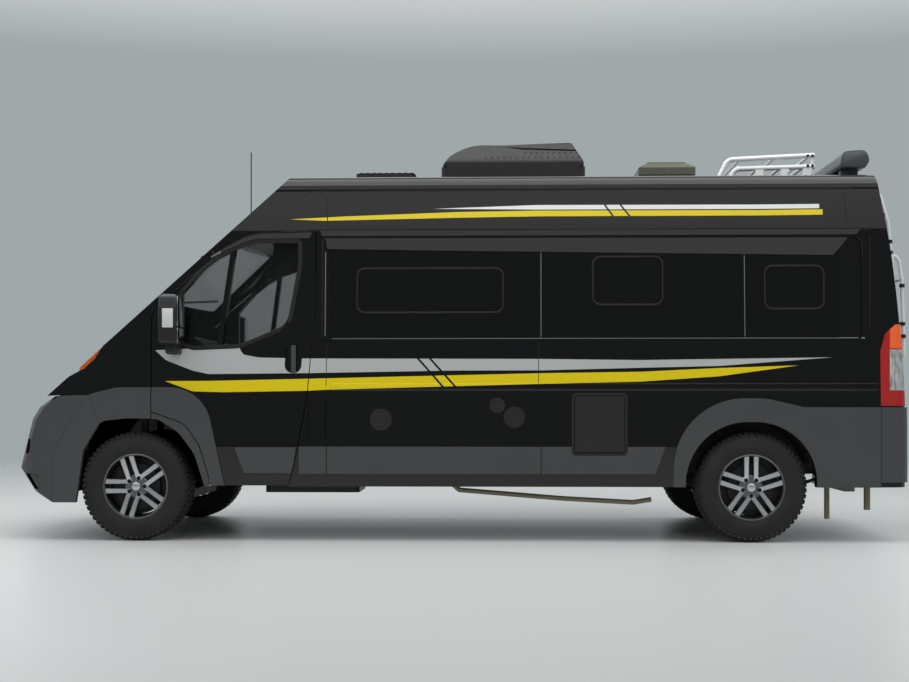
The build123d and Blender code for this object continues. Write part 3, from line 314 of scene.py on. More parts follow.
PAINT = paint_finish()
CLADDING = grained_finish("grey_cladding", srgb(66, 68, 70), 0.5)
BLACK_PLASTIC = grained_finish("black_plastic", srgb(26, 26, 27), 0.42)
PRIVACY = glass_finish("privacy_glass", srgb(2, 2, 2), 0.05)
CLEAR = glass_finish("clear_glass", srgb(26, 30, 30), 0.72)
RUBBER = rubber_finish()
ALLOY = metal_finish("silver_lacquer", srgb(196, 198, 200), 0.28)
TUBE_WHITE = grained_finish("rack_enamel", srgb(238, 240, 240), 0.3, depth=0.00003, shade=0.03)
BARE_STEEL = metal_finish("dull_steel", srgb(120, 116, 110), 0.42)
IRON = underbody_finish("cast_iron", srgb(52, 50, 48), 0.7)
UNDERBODY = underbody_finish("chassis_paint", srgb(30, 30, 31), 0.6)
AWNING = grained_finish("awning_case", srgb(88, 94, 98), 0.38)
SMOKED = grained_finish("smoked_lid", srgb(92, 92, 78), 0.25, depth=0.00003)
SEAT = cloth_finish("seat_cloth", srgb(104, 104, 106))
BOARD = board_finish()
LAMP_CLEAR = glass_finish("lamp_cover", srgb(60, 62, 64), 0.86)
RED_LENS = grained_finish("red_lens", srgb(150, 16, 14), 0.12, depth=0.00002)
# Near-black finish: painted shade in grooves, gaps and holes, and also the own colour of dark seams, seals and
# dust shields
SHADOW = grained_finish("painted_shade_and_dark_parts", srgb(6, 6, 6), 0.6, depth=0.00002)
# Satin grey: the strips between the side panes, and painted highlights on the recess ledge and the window
# band's front edge
TRIM_AND_HIGHLIGHT = metal_finish("satin_trim_and_painted_highlight", srgb(150, 152, 154), 0.35)
FRAME_GREY = grained_finish("window_frame", srgb(24, 24, 25), 0.4, depth=0.00002)
# Darker grey for the rim's barrel, lip and hub: painted shade of the inside of the wheel
RIM_SHADE = metal_finish("rim_painted_shade", srgb(110, 112, 114), 0.38)
DARK_STEEL = metal_finish("dark_nuts", srgb(46, 46, 48), 0.4)
MIRROR = metal_finish("mirror_glass", srgb(200, 204, 206), 0.06, 4)
WHITE_PLASTIC = grained_finish("white_plastic", srgb(214, 216, 212), 0.35, depth=0.00003, shade=0.03)
# Lighter grey of the mirror tops: a painted highlight
MIRROR_HIGHLIGHT_GREY = grained_finish("mirror_top_painted_highlight", srgb(64, 66, 68), 0.22, depth=0.00002)
CAP_GREY = grained_finish("cap_grey", srgb(70, 75, 78), 0.35, depth=0.00003)
PIPE = grained_finish("drain_pipe", srgb(120, 116, 92), 0.5)


# Tail lamp: where its rear strip starts, the foot of the amber part, and the clear window's two heights
STRIP_X = at(4.925)
AMBER_FOOT = 1.262
CLEAR_Z = (0.99, 1.255)


def tail_lamp_finish():
    """Red lens with an amber top and a clear window, fluted behind the surface."""
    lens = Finish("tail_lens", srgb(168, 18, 16), 0.16, Specular_IOR_Level=0.4)
    x, _, z = lens.split()
    behind = lens.math("GREATER_THAN", x, STRIP_X)
    amber = lens.math("MULTIPLY", behind, lens.math("GREATER_THAN", z, AMBER_FOOT))
    clear = lens.math("MULTIPLY", behind, lens.between(z, *CLEAR_Z))
    streaks = lens.spread(lens.noise(60, 2.0, (1, 1, 0.2)), 0, 1)
    glow = lens.mix(streaks, srgb(206, 208, 206), srgb(120, 124, 120))
    color = lens.mix(amber, srgb(176, 20, 18), srgb(255, 108, 48))
    lens.tint(lens.mix(clear, color, glow))
    flutes = lens.nodes.new("ShaderNodeTexWave")
    flutes.inputs["Scale"].default_value = 28
    flutes.bands_direction = "Z"
    lens.links.new(lens.place, flutes.inputs["Vector"])
    lens.bump(flutes.outputs["Fac"], 0.0008)
    return lens.material


# Headlamp: its parts are divided by lines that lean back with height about its middle
LAMP_MIDDLE_Z = 1.136
LAMP_LEAN = 0.35
GUIDE_X = (at(-0.47), at(-0.375))
AMBER_X = at(-0.368)


def lamp_inside_finish():
    """Bright reflector bowl with a dark bezel, a white guide and an amber part at its rear end."""
    bowl = Finish("lamp_inside", srgb(196, 200, 204), 0.22, Metallic=0.3)
    x, _, z = bowl.split()
    rise = bowl.math("SUBTRACT", z, LAMP_MIDDLE_Z)
    lean = bowl.math("SUBTRACT", x, bowl.math("MULTIPLY", rise, LAMP_LEAN))
    amber = bowl.math("GREATER_THAN", lean, AMBER_X)
    guide = bowl.between(lean, *GUIDE_X)
    bezel = bowl.math("GREATER_THAN", bowl.noise(7, 1.0), 0.56)
    color = bowl.mix(bezel, srgb(204, 208, 212), srgb(120, 122, 128))
    color = bowl.mix(guide, color, srgb(238, 240, 242))
    bowl.tint(bowl.mix(amber, color, srgb(232, 112, 2)))
    facets = bowl.nodes.new("ShaderNodeTexVoronoi")
    facets.inputs["Scale"].default_value = 55
    bowl.links.new(bowl.place, facets.inputs["Vector"])
    bowl.bump(facets.outputs["Distance"], 0.0025)
    return bowl.material


TAIL_LENS = tail_lamp_finish()
LAMP_INSIDE = lamp_inside_finish()

SLOT_FINISH = {
    "black_paint": PAINT, "grey_cladding": CLADDING, "black_plastic": BLACK_PLASTIC, "privacy_glass": PRIVACY,
    "clear_glass": CLEAR, "lamp_glass": LAMP_CLEAR, "red_lamp": TAIL_LENS, "tyre": RUBBER, "alloy": ALLOY,
    "silver_tube": TUBE_WHITE, "awning_case": AWNING, "underbody": UNDERBODY, "steel": BARE_STEEL,
    "iron": IRON, "smoked": SMOKED, "seat_cloth": SEAT, "cabin_board": BOARD,
}

NODE_SLOT = {part["node"]: part["material_slot"] for part in frame["record"]["subparts"]}
for name, node in NODES.items():
    node.data.materials.clear()
    node.data.materials.append(SLOT_FINISH[NODE_SLOT[name]])

# Modelling: every helper adds to a mesh in the making, and finish_piece turns that into a piece of the van
SHARP = radians(32)


def finish_piece(name, bm, finish, body="body"):
    """Shade the mesh smoothly between its sharp edges and let it ride on a body."""
    bmesh.ops.recalc_face_normals(bm, faces=bm.faces)
    for edge in bm.edges:
        edge.smooth = len(edge.link_faces) == 2 and edge.calc_face_angle(0.0) < SHARP
    for face in bm.faces:
        face.smooth = True
    mesh = bpy.data.meshes.new(name)
    bm.to_mesh(mesh)
    bm.free()
    mesh.materials.append(finish)
    piece = bpy.data.objects.new(name, mesh)
    bpy.context.scene.collection.objects.link(piece)
    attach(piece, body)
    return piece


def round_edges(bm, edges, width, segments=2):
    """Round the given edges."""
    bmesh.ops.bevel(bm, geom=list(edges), offset=width, segments=segments, profile=0.5, affect="EDGES",
                    material=-1)


def soften(bm, verts, width, segments=2):
    """Round every edge between the given corners."""
    round_edges(bm, {edge for vert in verts for edge in vert.link_edges}, width, segments)


def add_block(bm, low, high, round_by=0.0, segments=2):
    """Block between two corners."""
    low, high = Vector(low), Vector(high)
    place = Matrix.Translation((low + high) / 2) @ Matrix.Diagonal((*(high - low), 1.0))
    made = bmesh.ops.create_cube(bm, size=1.0, matrix=place)
    if round_by:
        soften(bm, made["verts"], round_by, segments)


CORNER_STEPS = 5


def rounded(rows):
    """Points of a closed outline whose rows give two distances and the radius of that corner."""
    points = []
    for i, row in enumerate(rows):
        corner = Vector(row[:2])
        radius = row[2] if len(row) > 2 else 0
        if not radius:
            points.append(corner)
            continue
        before = (Vector(rows[i - 1][:2]) - corner).normalized()
        after = (Vector(rows[(i + 1) % len(rows)][:2]) - corner).normalized()
        half = before.angle(after) / 2
        middle = corner + (before + after).normalized() * (radius / sin(half))
        first = corner + before * (radius / tan(half)) - middle
        last = corner + after * (radius / tan(half)) - middle
        start = atan2(first.y, first.x)
        sweep = (atan2(last.y, last.x) - start + pi) % (2 * pi) - pi
        for step in range(CORNER_STEPS + 1):
            angle = start + sweep * step / CORNER_STEPS
            points.append(middle + Vector((cos(angle), sin(angle))) * radius)
    return points


def add_prism(bm, corners, reach, round_by=0.0):
    """Flat outline carried along the vector reach."""
    base = [bm.verts.new(corner) for corner in corners]
    top = [bm.verts.new(Vector(corner) + Vector(reach)) for corner in corners]
    count = len(base)
    rims = [bm.faces.new(base), bm.faces.new(top)]
    for i in range(count):
        bm.faces.new((base[i], base[(i + 1) % count], top[(i + 1) % count], top[i]))
    if round_by:
        round_edges(bm, {edge for face in rims for edge in face.edges}, round_by)


def add_sweep(bm, path, faces, section, closed=False):
    """Carry a section along a path; its rows give the distance across the path and off the surface."""
    rings = []
    count = len(path)
    for i, (point, face) in enumerate(zip(path, faces)):
        come = point - path[i - 1] if closed or i else path[1] - point
        leave = path[(i + 1) % count] - point if closed or i + 1 < count else come
        along = (come.normalized() + leave.normalized()).normalized()
        stretch = 1 / max(0.5, along.dot(leave.normalized()))
        side = along.cross(face).normalized() * stretch
        rings.append([bm.verts.new(point + side * across + face * off) for across, off in section])
    pairs = list(zip(rings, rings[1:]))
    if closed:
        pairs.append((rings[-1], rings[0]))
    size = len(section)
    for near, far in pairs:
        for i in range(size):
            bm.faces.new((near[i], near[(i + 1) % size], far[(i + 1) % size], far[i]))
    if not closed:
        bm.faces.new(rings[0])
        bm.faces.new(rings[-1])


TUBE_SIDES = 12


def add_tube(bm, path, radius):
    """Round rod along a path."""
    path = [Vector(point) for point in path]
    lead = (path[-1] - path[0]).normalized()
    face = lead.cross(Vector((0, 0, 1)) if abs(lead.z) < 0.9 else Vector((0, 1, 0))).normalized()
    turns = [2 * pi * i / TUBE_SIDES for i in range(TUBE_SIDES)]
    add_sweep(bm, path, [face] * len(path), [(radius * cos(turn), radius * sin(turn)) for turn in turns])


def add_spun(bm, rows, segments=72):
    """Closed outline, in distance from the Y axis and along it, turned all the way round."""
    corners = [bm.verts.new((radius, y, 0)) for radius, y in rows]
    edges = [bm.edges.new((corner, corners[(i + 1) % len(corners)])) for i, corner in enumerate(corners)]
    bmesh.ops.spin(bm, geom=[*corners, *edges], cent=(0, 0, 0), axis=(0, 1, 0), angle=2 * pi, steps=segments,
                   use_merge=True)


def moved(bm, matrix):
    """Copy of the mesh in another place."""
    copy = bm.copy()
    bmesh.ops.transform(copy, matrix=matrix, verts=copy.verts)
    return copy


def skin_tree(*names):
    """Surface of some CAD nodes, to lay pieces on."""
    points = []
    faces = []
    for name in names:
        data = NODES[name].data
        base = len(points)
        points += [vert.co.copy() for vert in data.vertices]
        faces += [[base + i for i in face.vertices] for face in data.polygons]
    return BVHTree.FromPolygons(points, faces)


# Side-view lines are laid on the skin by rays from this far beside the van, at most this far apart
CLEAR_Y = 1.4
LAY_STEP = 0.06


def lay(tree, rows, side):
    """Side-view line laid on the skin: its points and the way the skin faces there."""
    places = []
    for (x0, z0), (x1, z1) in zip(rows, rows[1:]):
        parts = max(1, int(sqrt((x1 - x0) ** 2 + (z1 - z0) ** 2) / LAY_STEP))
        places += [(x0 + (x1 - x0) * i / parts, z0 + (z1 - z0) * i / parts) for i in range(parts)]
    places.append(rows[-1])
    path = []
    faces = []
    for x, z in places:
        spot, face, _, _ = tree.ray_cast(Vector((at(x), side * CLEAR_Y, z)), Vector((0, -side, 0)))
        if spot is not None:
            path.append(spot)
            faces.append(face if face.y * side > 0 else -face)
    return path, faces


STRIP_SUNK = 0.002


def flat_strip(width, height):
    """Section of a low strip with a slightly softened top."""
    half = width / 2
    return [(-half, -STRIP_SUNK), (half, -STRIP_SUNK), (half, height * 0.6), (half * 0.7, height),
            (-half * 0.7, height), (-half, height * 0.6)]


SKIN = skin_tree("left_side_wall", "right_side_wall", "sliding_door", "roof", "left_cab_door",
                 "right_cab_door", "front_frame", "front_wings", "body_cladding", "front_bumper", "rear_bumper",
                 "tail_lamps")
PANES = skin_tree("side_glass", "left_side_wall", "right_side_wall", "sliding_door", "roof")


def add_strips(name, lines, width, height, finish, tree=SKIN, closed=False):
    """Strips laid on both sides of the van along side-view lines."""
    bm = bmesh.new()
    for rows in lines:
        for _, side in SIDES:
            path, faces = lay(tree, rows, side)
            if closed:
                path.pop()
                faces.pop()
            if len(path) > 1:
                add_sweep(bm, path, faces, flat_strip(width, height), closed)
    finish_piece(name, bm, finish)


# Side lines: axle distance and height
DRIP_LINE = ((0.425, 1.872), (0.515, 1.904), (0.628, 1.972), (0.753, 2.035), (1.19, 2.049), (4.753, 2.046),
             (4.79, 2.03), (4.80, 1.99))
RECESS_LINE = ((1.236, 1.34), (1.236, 1.975), (1.262, 1.999), (4.70, 1.998), (4.745, 1.96), (4.75, 1.86))
ROOF_SEAMS = (((1.267, 2.06), (1.262, 2.30), (1.267, 2.40)), ((4.655, 2.06), (4.638, 2.30), (4.62, 2.39)))
FLANK_SEAMS = (((1.267, 1.30), (1.262, 1.02)), ((2.655, 1.30), (2.65, 1.02)))
FRAME_EDGE_HIGHLIGHT = ((1.256, 1.345), (1.256, 1.90))
CREASE_LINE = ((0.95, 2.224), (1.17, 2.302), (4.70, 2.308))
RECESS_LEDGE_HIGHLIGHT = ((1.30, 1.328), (4.76, 1.328))
WAIST_LINE = ((1.30, 1.012), (4.85, 1.012))
PANE_LINES = (((2.668, 1.34), (2.668, 1.98)), ((3.99, 1.34), (3.99, 1.98)))
TAIL_LINE = ((4.795, 1.40), (4.80, 1.95), (4.79, 2.02))
# Opening windows: the radius of their corners, then each one's front, rear, foot and head
WINDOW_CORNER = 0.05
VENT_WINDOWS = ((1.465, 2.42, 1.50, 1.79), (3.006, 3.459, 1.549, 1.863), (4.12, 4.5, 1.52, 1.80))

add_strips("drip_rails", (DRIP_LINE,), 0.010, 0.006, PAINT)
# Near-black lines: painted shade under the drip rail, along the top and front edge of the window recess and in
# the roof crease, and the dark seams on the roof and at the tail
UNDER_DRIP = [(x, z - 0.010) for x, z in DRIP_LINE]
add_strips("groove_shade_and_seam_lines", (UNDER_DRIP, RECESS_LINE, CREASE_LINE, *ROOF_SEAMS, TAIL_LINE), 0.006, 0.0012,
           SHADOW)
add_strips("waist_creases", (WAIST_LINE,), 0.05, 0.004, PAINT)
add_strips("flank_seams", FLANK_SEAMS, 0.004, 0.0008, SHADOW)
# Satin grey strip along the bottom ledge of the window recess: a painted highlight where the ledge catches the
# light
add_strips("recess_ledge_highlights", (RECESS_LEDGE_HIGHLIGHT,), 0.009, 0.004, TRIM_AND_HIGHLIGHT)
# Satin grey strip down the front edge of the window band: a painted highlight where the frame's edge catches
# the light
add_strips("frame_edge_highlights", (FRAME_EDGE_HIGHLIGHT,), 0.006, 0.002, TRIM_AND_HIGHLIGHT)
add_strips("pane_gaps", PANE_LINES, 0.007, 0.002, TRIM_AND_HIGHLIGHT, PANES)
for front, rear, low, high in VENT_WINDOWS:
    places = ((front, low), (rear, low), (rear, high), (front, high))
    outline = [tuple(corner) for corner in rounded([(x, z, WINDOW_CORNER) for x, z in places])]
    add_strips(f"opening_window_{round(front * 1000)}", ([*outline, outline[0]],), 0.010, 0.0015, FRAME_GREY,
               PANES, closed=True)

# Slopes that lean out over what lies below them: along the gutter, over the cab doors and above the side glass
SLOPE_STEPS = 60
SLOPE_LIFT = 0.0015
SLOPE_SUNK = 0.001
# A ray that lands this much deeper than the last has fallen into a gap between two panels
GAP_DEPTH = 0.003
GUTTER_TOP = ((1.215, 2.043), (4.74, 2.040))
GUTTER_LOW = ((1.235, 2.004), (4.71, 2.003))
BROW_TOP = ((1.255, 1.990), (4.66, 1.984))
BROW_LOW = ((1.27, 1.918), (2.0, 1.905), (4.56, 1.868))
DOOR_BROW_TOP = ((0.50, 1.875), (0.61, 1.940), (0.72, 1.998), (0.80, 2.020), (1.165, 2.030))
DOOR_BROW_LOW = ((0.50, 1.862), (0.61, 1.918), (0.72, 1.965), (0.80, 1.988), (1.150, 1.990))


def height_at(rows, x):
    """Height of a broken line at x."""
    for (x0, z0), (x1, z1) in zip(rows, rows[1:]):
        if x <= x1:
            break
    return z0 + (z1 - z0) * (x - x0) / (x1 - x0)


def add_slopes(name, sides, tops, lows, reach, tree=SKIN, body="body"):
    """Painted band between two side-view lines that stands out by reach at its lower edge."""
    bm = bmesh.new()
    for side in sides:
        out = Vector((0, side, 0))
        depths = [0.0, 0.0]
        rings = []
        for i in range(SLOPE_STEPS + 1):
            share = i / SLOPE_STEPS
            spots = []
            for k, line in enumerate((tops, lows)):
                x = line[0][0] + (line[-1][0] - line[0][0]) * share
                z = height_at(line, x)
                spot = tree.ray_cast(Vector((at(x), side * CLEAR_Y, z)), -out)[0]
                if spot is None or abs(spot.y) < depths[k] - GAP_DEPTH:
                    spot = Vector((at(x), side * depths[k], z))
                depths[k] = abs(spot.y)
                spots.append(spot)
            top, low = spots
            ring = (top + out * SLOPE_LIFT, low + out * reach, low - out * SLOPE_SUNK)
            rings.append([bm.verts.new(spot) for spot in ring])
        for near, far in zip(rings, rings[1:]):
            for k in range(2):
                bm.faces.new((near[k], far[k], far[k + 1], near[k + 1]))
    finish_piece(name, bm, PAINT, body)


add_slopes("window_brows", (-1, 1), BROW_TOP, BROW_LOW, 0.0125, PANES)
add_slopes("gutter_slopes", (-1, 1), GUTTER_TOP, GUTTER_LOW, 0.008)
for name, side in SIDES:
    add_slopes(f"{name}_door_brow", (side,), DOOR_BROW_TOP, DOOR_BROW_LOW, 0.007, body=f"{name}_cab_door")

# Wheels: tread rows across the tyre, then the rim's spokes, nuts and cap; outlines are in distance from the
# wheel's axis and along it, with the outer side negative
CARCASS = ((0.214, -0.100), (0.224, -0.107), (0.236, -0.1085), (0.240, -0.111), (0.262, -0.1125),
           (0.286, -0.1122), (0.290, -0.1105), (0.312, -0.108), (0.334, -0.100), (0.347, -0.088),
           (0.3495, -0.07), (0.3495, 0.07), (0.347, 0.088), (0.334, 0.100), (0.312, 0.108), (0.286, 0.1122),
           (0.262, 0.1125), (0.236, 0.1085), (0.224, 0.107), (0.214, 0.100))
TREAD_COUNT = 58
# Tread blocks: distance across, width, length round the tyre, offset and turn
TREAD = ((-0.076, 0.032, 0.026, 0.0, 0.12), (-0.039, 0.028, 0.024, 0.5, -0.2), (0.0, 0.030, 0.026, 0.1, 0.2),
         (0.039, 0.028, 0.024, 0.6, -0.2), (0.076, 0.032, 0.026, 0.3, 0.12))
TREAD_R = 0.3525
TREAD_DEPTH = 0.0095
BLOCK_ROUND = 0.0012
# Shoulder lugs, long and short by turns: place across, outer radius, the two lengths, section, offset and lean
LUG_Y = 0.1
LUG_R = 0.345
LUG_LENGTHS = (0.016, 0.026)
LUG_SECTION = (0.011, 0.023)
LUG_OFFSET = 0.25
LUG_LEAN = 0.45


def add_tread_block(bm, step, place, turn, size):
    """One block of the tread at a step round the tyre."""
    place = Matrix.Rotation(2 * pi * step / TREAD_COUNT, 4, "Y") @ Matrix.Translation(place) @ turn
    made = bmesh.ops.create_cube(bm, size=1.0, matrix=place @ Matrix.Diagonal((*size, 1.0)))
    soften(bm, made["verts"], BLOCK_ROUND, 1)


def tyre_mesh():
    bm = bmesh.new()
    add_spun(bm, CARCASS, 96)
    for y, width, length, offset, turn in TREAD:
        for i in range(TREAD_COUNT):
            add_tread_block(bm, i + offset, (TREAD_R, y, 0), Matrix.Rotation(turn, 4, "X"),
                            (TREAD_DEPTH, width, length))
    for side in (-1, 1):
        for i in range(TREAD_COUNT):
            length = LUG_LENGTHS[i % 2]
            add_tread_block(bm, i + LUG_OFFSET, (LUG_R - length / 2, side * LUG_Y, 0),
                            Matrix.Rotation(side * LUG_LEAN, 4, "Z"), (length, *LUG_SECTION))
    return bm


BARREL = ((0.2155, -0.0985), (0.2165, -0.1015), (0.2125, -0.1035), (0.207, -0.1025), (0.2035, -0.096),
          (0.199, -0.078), (0.194, -0.03), (0.190, 0.05), (0.199, 0.092), (0.210, 0.1), (0.2155, 0.098),
          (0.214, 0.02), (0.212, -0.06))
LIP = ((0.2125, -0.1042), (0.2065, -0.1032), (0.2025, -0.0965), (0.1985, -0.082), (0.2005, -0.081),
       (0.2052, -0.0955), (0.209, -0.1015))
SPOKE_PAIRS = 5
# Half the distance between the two spokes of a pair
SPOKE_GAP = 0.031
# Spoke sections: distance from the axis, half the width, front and back
SPOKE_ROWS = ((0.040, 0.0185, -0.083, -0.056), (0.075, 0.0165, -0.089, -0.060), (0.204, 0.0185, -0.094, -0.066))
HUB = ((0.0005, -0.077), (0.030, -0.078), (0.072, -0.078), (0.080, -0.071), (0.081, -0.02), (0.0005, -0.02))
CAP = ((0.0005, -0.0935), (0.014, -0.0932), (0.022, -0.0915), (0.0275, -0.0885), (0.029, -0.083),
       (0.029, -0.07), (0.0005, -0.07))
NUT_COUNT = 5
NUT_CIRCLE = 0.056
NUT_Y = -0.084
# A nut's seat and its head: sides, radius and depth; the outer end of each is a little narrower
NUT_PARTS = ((24, 0.0145, 0.008), (6, 0.0105, 0.018))
NUT_TAPER = 0.92
DISC = ((0.08, -0.052), (0.152, -0.052), (0.152, -0.028), (0.08, -0.028))
SHIELD = ((0.05, -0.018), (0.186, -0.018), (0.186, -0.012), (0.05, -0.012))


def spoke_section(radius, half, front, back, middle):
    """Section of a spoke, with a chamfered front and a slightly narrower back."""
    return [Vector((radius, front, middle - half + 0.004)), Vector((radius, front, middle + half - 0.004)),
            Vector((radius, front + 0.006, middle + half)), Vector((radius, back, middle + half - 0.003)),
            Vector((radius, back, middle - half + 0.003)), Vector((radius, front + 0.006, middle - half))]


def spoke_mesh():
    bm = bmesh.new()
    for pair in range(SPOKE_PAIRS):
        turn = Matrix.Rotation(2 * pi * pair / SPOKE_PAIRS, 4, "Y")
        for side in (-1, 1):
            sections = [spoke_section(*row, side * SPOKE_GAP) for row in SPOKE_ROWS]
            rings = [[bm.verts.new(turn @ corner) for corner in section] for section in sections]
            for near, far in zip(rings, rings[1:]):
                for i in range(len(near)):
                    bm.faces.new((near[i], near[(i + 1) % len(near)], far[(i + 1) % len(near)], far[i]))
            bm.faces.new(rings[0])
            bm.faces.new(rings[-1])
    return bm


def rim_mesh():
    bm = bmesh.new()
    add_spun(bm, BARREL, 96)
    add_spun(bm, LIP, 96)
    add_spun(bm, HUB, 48)
    return bm


# Turns a cone's axis across the van
ACROSS = Matrix.Rotation(pi / 2, 4, "X")


def nut_mesh():
    bm = bmesh.new()
    for i in range(NUT_COUNT):
        place = Matrix.Rotation(2 * pi * (i + 0.5) / NUT_COUNT, 4, "Y")
        place = place @ Matrix.Translation((NUT_CIRCLE, NUT_Y, 0)) @ ACROSS
        for sides, radius, depth in NUT_PARTS:
            bmesh.ops.create_cone(bm, cap_ends=True, segments=sides, radius1=radius,
                                  radius2=radius * NUT_TAPER, depth=depth, matrix=place)
    return bm


def spun_mesh(rows, segments):
    bm = bmesh.new()
    add_spun(bm, rows, segments)
    return bm


tyre_form = tyre_mesh()
rim_form = rim_mesh()
# Wheel pieces that all four wheels share: name, mesh and finish
WHEEL_TRIM = (("rim_spokes", spoke_mesh(), ALLOY), ("rim_nuts", nut_mesh(), DARK_STEEL),
              ("rim_cap", spun_mesh(CAP, 36), ALLOY), ("brake_disc", spun_mesh(DISC, 64), DARK_STEEL),
              ("dust_shield", spun_mesh(SHIELD, 48), SHADOW))
# Axles: name, place along the van and the angle at which the wheels rest
AXLES = (("front", FRONT_AXLE, pi), ("rear", REAR_AXLE, -pi / 2))
for end, x, rest in AXLES:
    for name, side in SIDES:
        place = Matrix.Translation((x, side * WHEEL_Y, TYRE_R))
        if side > 0:
            place = place @ Matrix.Rotation(pi, 4, "Z")
        place = place @ Matrix.Rotation(rest, 4, "Y")
        wheel = f"{name}_{end}"
        body = f"{wheel}_wheel"
        tyre = finish_piece(f"{wheel}_tyre_treaded", moved(tyre_form, place), RUBBER, body)
        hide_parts(f"{wheel}_tyre")
        # The barrel, lip and hub take the darker grey, painted shade inside the wheel
        barrel = finish_piece(f"{wheel}_rim_barrel", moved(rim_form, place), RIM_SHADE, body)
        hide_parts(f"{wheel}_rim")
        for trim, form, finish in WHEEL_TRIM:
            finish_piece(f"{wheel}_{trim}", moved(form, place), finish, body)
for form in (tyre_form, rim_form, *(form for _, form, _ in WHEEL_TRIM)):
    form.free()

# Lamps: a bowl inside each headlamp
LAMP_WALL = 0.009
# Corners of a node's loose triangles that lie this close are one corner
SAME_PLACE = 0.00005


def shrunk(name, node, amount, finish):
    """The same solid as a CAD node, smaller by amount all round."""
    bm = bmesh.new()
    bm.from_mesh(NODES[node].data)
    bmesh.ops.remove_doubles(bm, verts=bm.verts, dist=SAME_PLACE)
    bmesh.ops.recalc_face_normals(bm, faces=bm.faces)
    bm.normal_update()
    for vert, inward in [(vert, vert.normal.copy()) for vert in bm.verts]:
        vert.co -= inward * amount
    finish_piece(name, bm, finish)


shrunk("headlamp_bowls", "headlamps", LAMP_WALL, LAMP_INSIDE)


def across_y(side, near, far):
    """Lower and higher Y of a pair of distances on one side of the van."""
    return sorted((side * near, side * far))


def add_side_block(bm, side, xs, ys, zs, round_by=0.0, segments=2):
    """Block on one side of the van, placed by its distance behind the front axle."""
    low_y, high_y = across_y(side, *ys)
    add_block(bm, (at(xs[0]), low_y, zs[0]), (at(xs[1]), high_y, zs[1]), round_by, segments=segments)


# Mirrors: a head on its foot, a cap in a lighter grey that is a painted highlight on its top, two glasses on
# the rear face and a blank reflector on the outer side.
# Blocks are given as distance behind the axle, distance from the centre line, height and rounding.
MIRROR_HEAD = (((0.204, 0.332), (1.092, 1.2515), (1.286, 1.550), 0.030, 4),
               ((0.232, 0.312), (0.985, 1.16), (1.224, 1.300), 0.016, 3))
MIRROR_LIT_TOP = (((0.208, 0.332), (1.098, 1.250), (1.508, 1.608), 0.028, 4),)
MIRROR_GLASS = (((0.330, 0.3345), (1.104, 1.240), (1.300, 1.390), 0.0015),
                ((0.330, 0.3345), (1.104, 1.240), (1.402, 1.594), 0.0015))
MIRROR_REFLECTOR = (((0.236, 0.306), (1.249, 1.2535), (1.392, 1.515), 0.0015),)


def add_side_blocks(name, side, blocks, finish, body):
    """Piece made of blocks on one side of the van."""
    bm = bmesh.new()
    for block in blocks:
        add_side_block(bm, side, *block)
    return finish_piece(name, bm, finish, body)


for name, side in SIDES:
    door = f"{name}_cab_door"
    head = add_side_blocks(f"{name}_mirror_head", side, MIRROR_HEAD, BLACK_PLASTIC, door)
    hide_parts(f"{name}_mirror")
    add_side_blocks(f"{name}_mirror_top_highlight", side, MIRROR_LIT_TOP, MIRROR_HIGHLIGHT_GREY, door)
    add_side_blocks(f"{name}_mirror_glass", side, MIRROR_GLASS, MIRROR, door)
    add_side_blocks(f"{name}_mirror_reflector", side, MIRROR_REFLECTOR, WHITE_PLASTIC, door)

# Near-black filler under the wings' front edge, above the bumper, as painted shade in the gap there: outline
# seen from above, foot and height
NOSE_FILLER = ((-0.56, -0.80), (-0.53, -0.92), (-0.47, -0.96), (-0.36, -0.98), (-0.36, -0.70), (-0.56, -0.70))
FILLER_Z = 0.925
FILLER_RISE = 0.045
bm = bmesh.new()
for _, side in SIDES:
    add_prism(bm, [(at(x), -side * y, FILLER_Z) for x, y in NOSE_FILLER], (0, 0, FILLER_RISE))
finish_piece("nose_gap_shade", bm, SHADOW)

# Seals round the cab windows, a little larger than the glass
DOOR_WINDOW = ((0.315, 1.628, 0.02), (0.315, 1.3, 0.04), (0.4, 1.275, 0.06), (0.7, 1.288, 0.2),
               (0.88, 1.362, 0.2), (1.01, 1.42, 0.13), (1.078, 1.803, 0.3), (1.077, 1.965, 0.03),
               (0.8, 1.963, 0.2), (0.659, 1.918), (0.489, 1.824))
SEAL_GROWTH = (1.03, 1.025)
for name, side in SIDES:
    bm = bmesh.new()
    tree = skin_tree(f"{name}_cab_door", f"{name}_door_glass")
    outline = [tuple(corner) for corner in rounded(DOOR_WINDOW)]
    middle = [sum(corner[k] for corner in outline) / len(outline) for k in range(2)]
    seal = [tuple(m + (c - m) * grow for c, m, grow in zip(corner, middle, SEAL_GROWTH)) for corner in outline]
    path, faces = lay(tree, [*seal, seal[0]], side)
    add_sweep(bm, path[:-1], faces[:-1], flat_strip(0.028, 0.003), True)
    finish_piece(f"{name}_window_seal", bm, SHADOW, f"{name}_cab_door")

# Roof air conditioner: rows of vent holes, each a thin near-black disc that is painted shade in the hole, with
# their first and last place, count and height
AC_SKIN = skin_tree("air_conditioner")
HOLE_ROWS = ((2.58, 2.94, 10, 2.668), (2.30, 2.955, 16, 2.632))
HOLE_R = 0.009
HOLE_DEPTH = 0.002
bm = bmesh.new()
for first, last, count, z in HOLE_ROWS:
    for i in range(count):
        x = first + (last - first) * i / (count - 1)
        for _, side in SIDES:
            spot, face, _, _ = AC_SKIN.ray_cast(Vector((at(x), side * 0.8, z)), Vector((0, -side, 0)))
            if spot is not None:
                turn = face.to_track_quat("Z", "Y").to_matrix().to_4x4()
                bmesh.ops.create_cone(bm, cap_ends=True, segments=16, radius1=HOLE_R, radius2=HOLE_R,
                                      depth=HOLE_DEPTH, matrix=Matrix.Translation(spot) @ turn)
finish_piece("air_conditioner_hole_shade", bm, SHADOW)

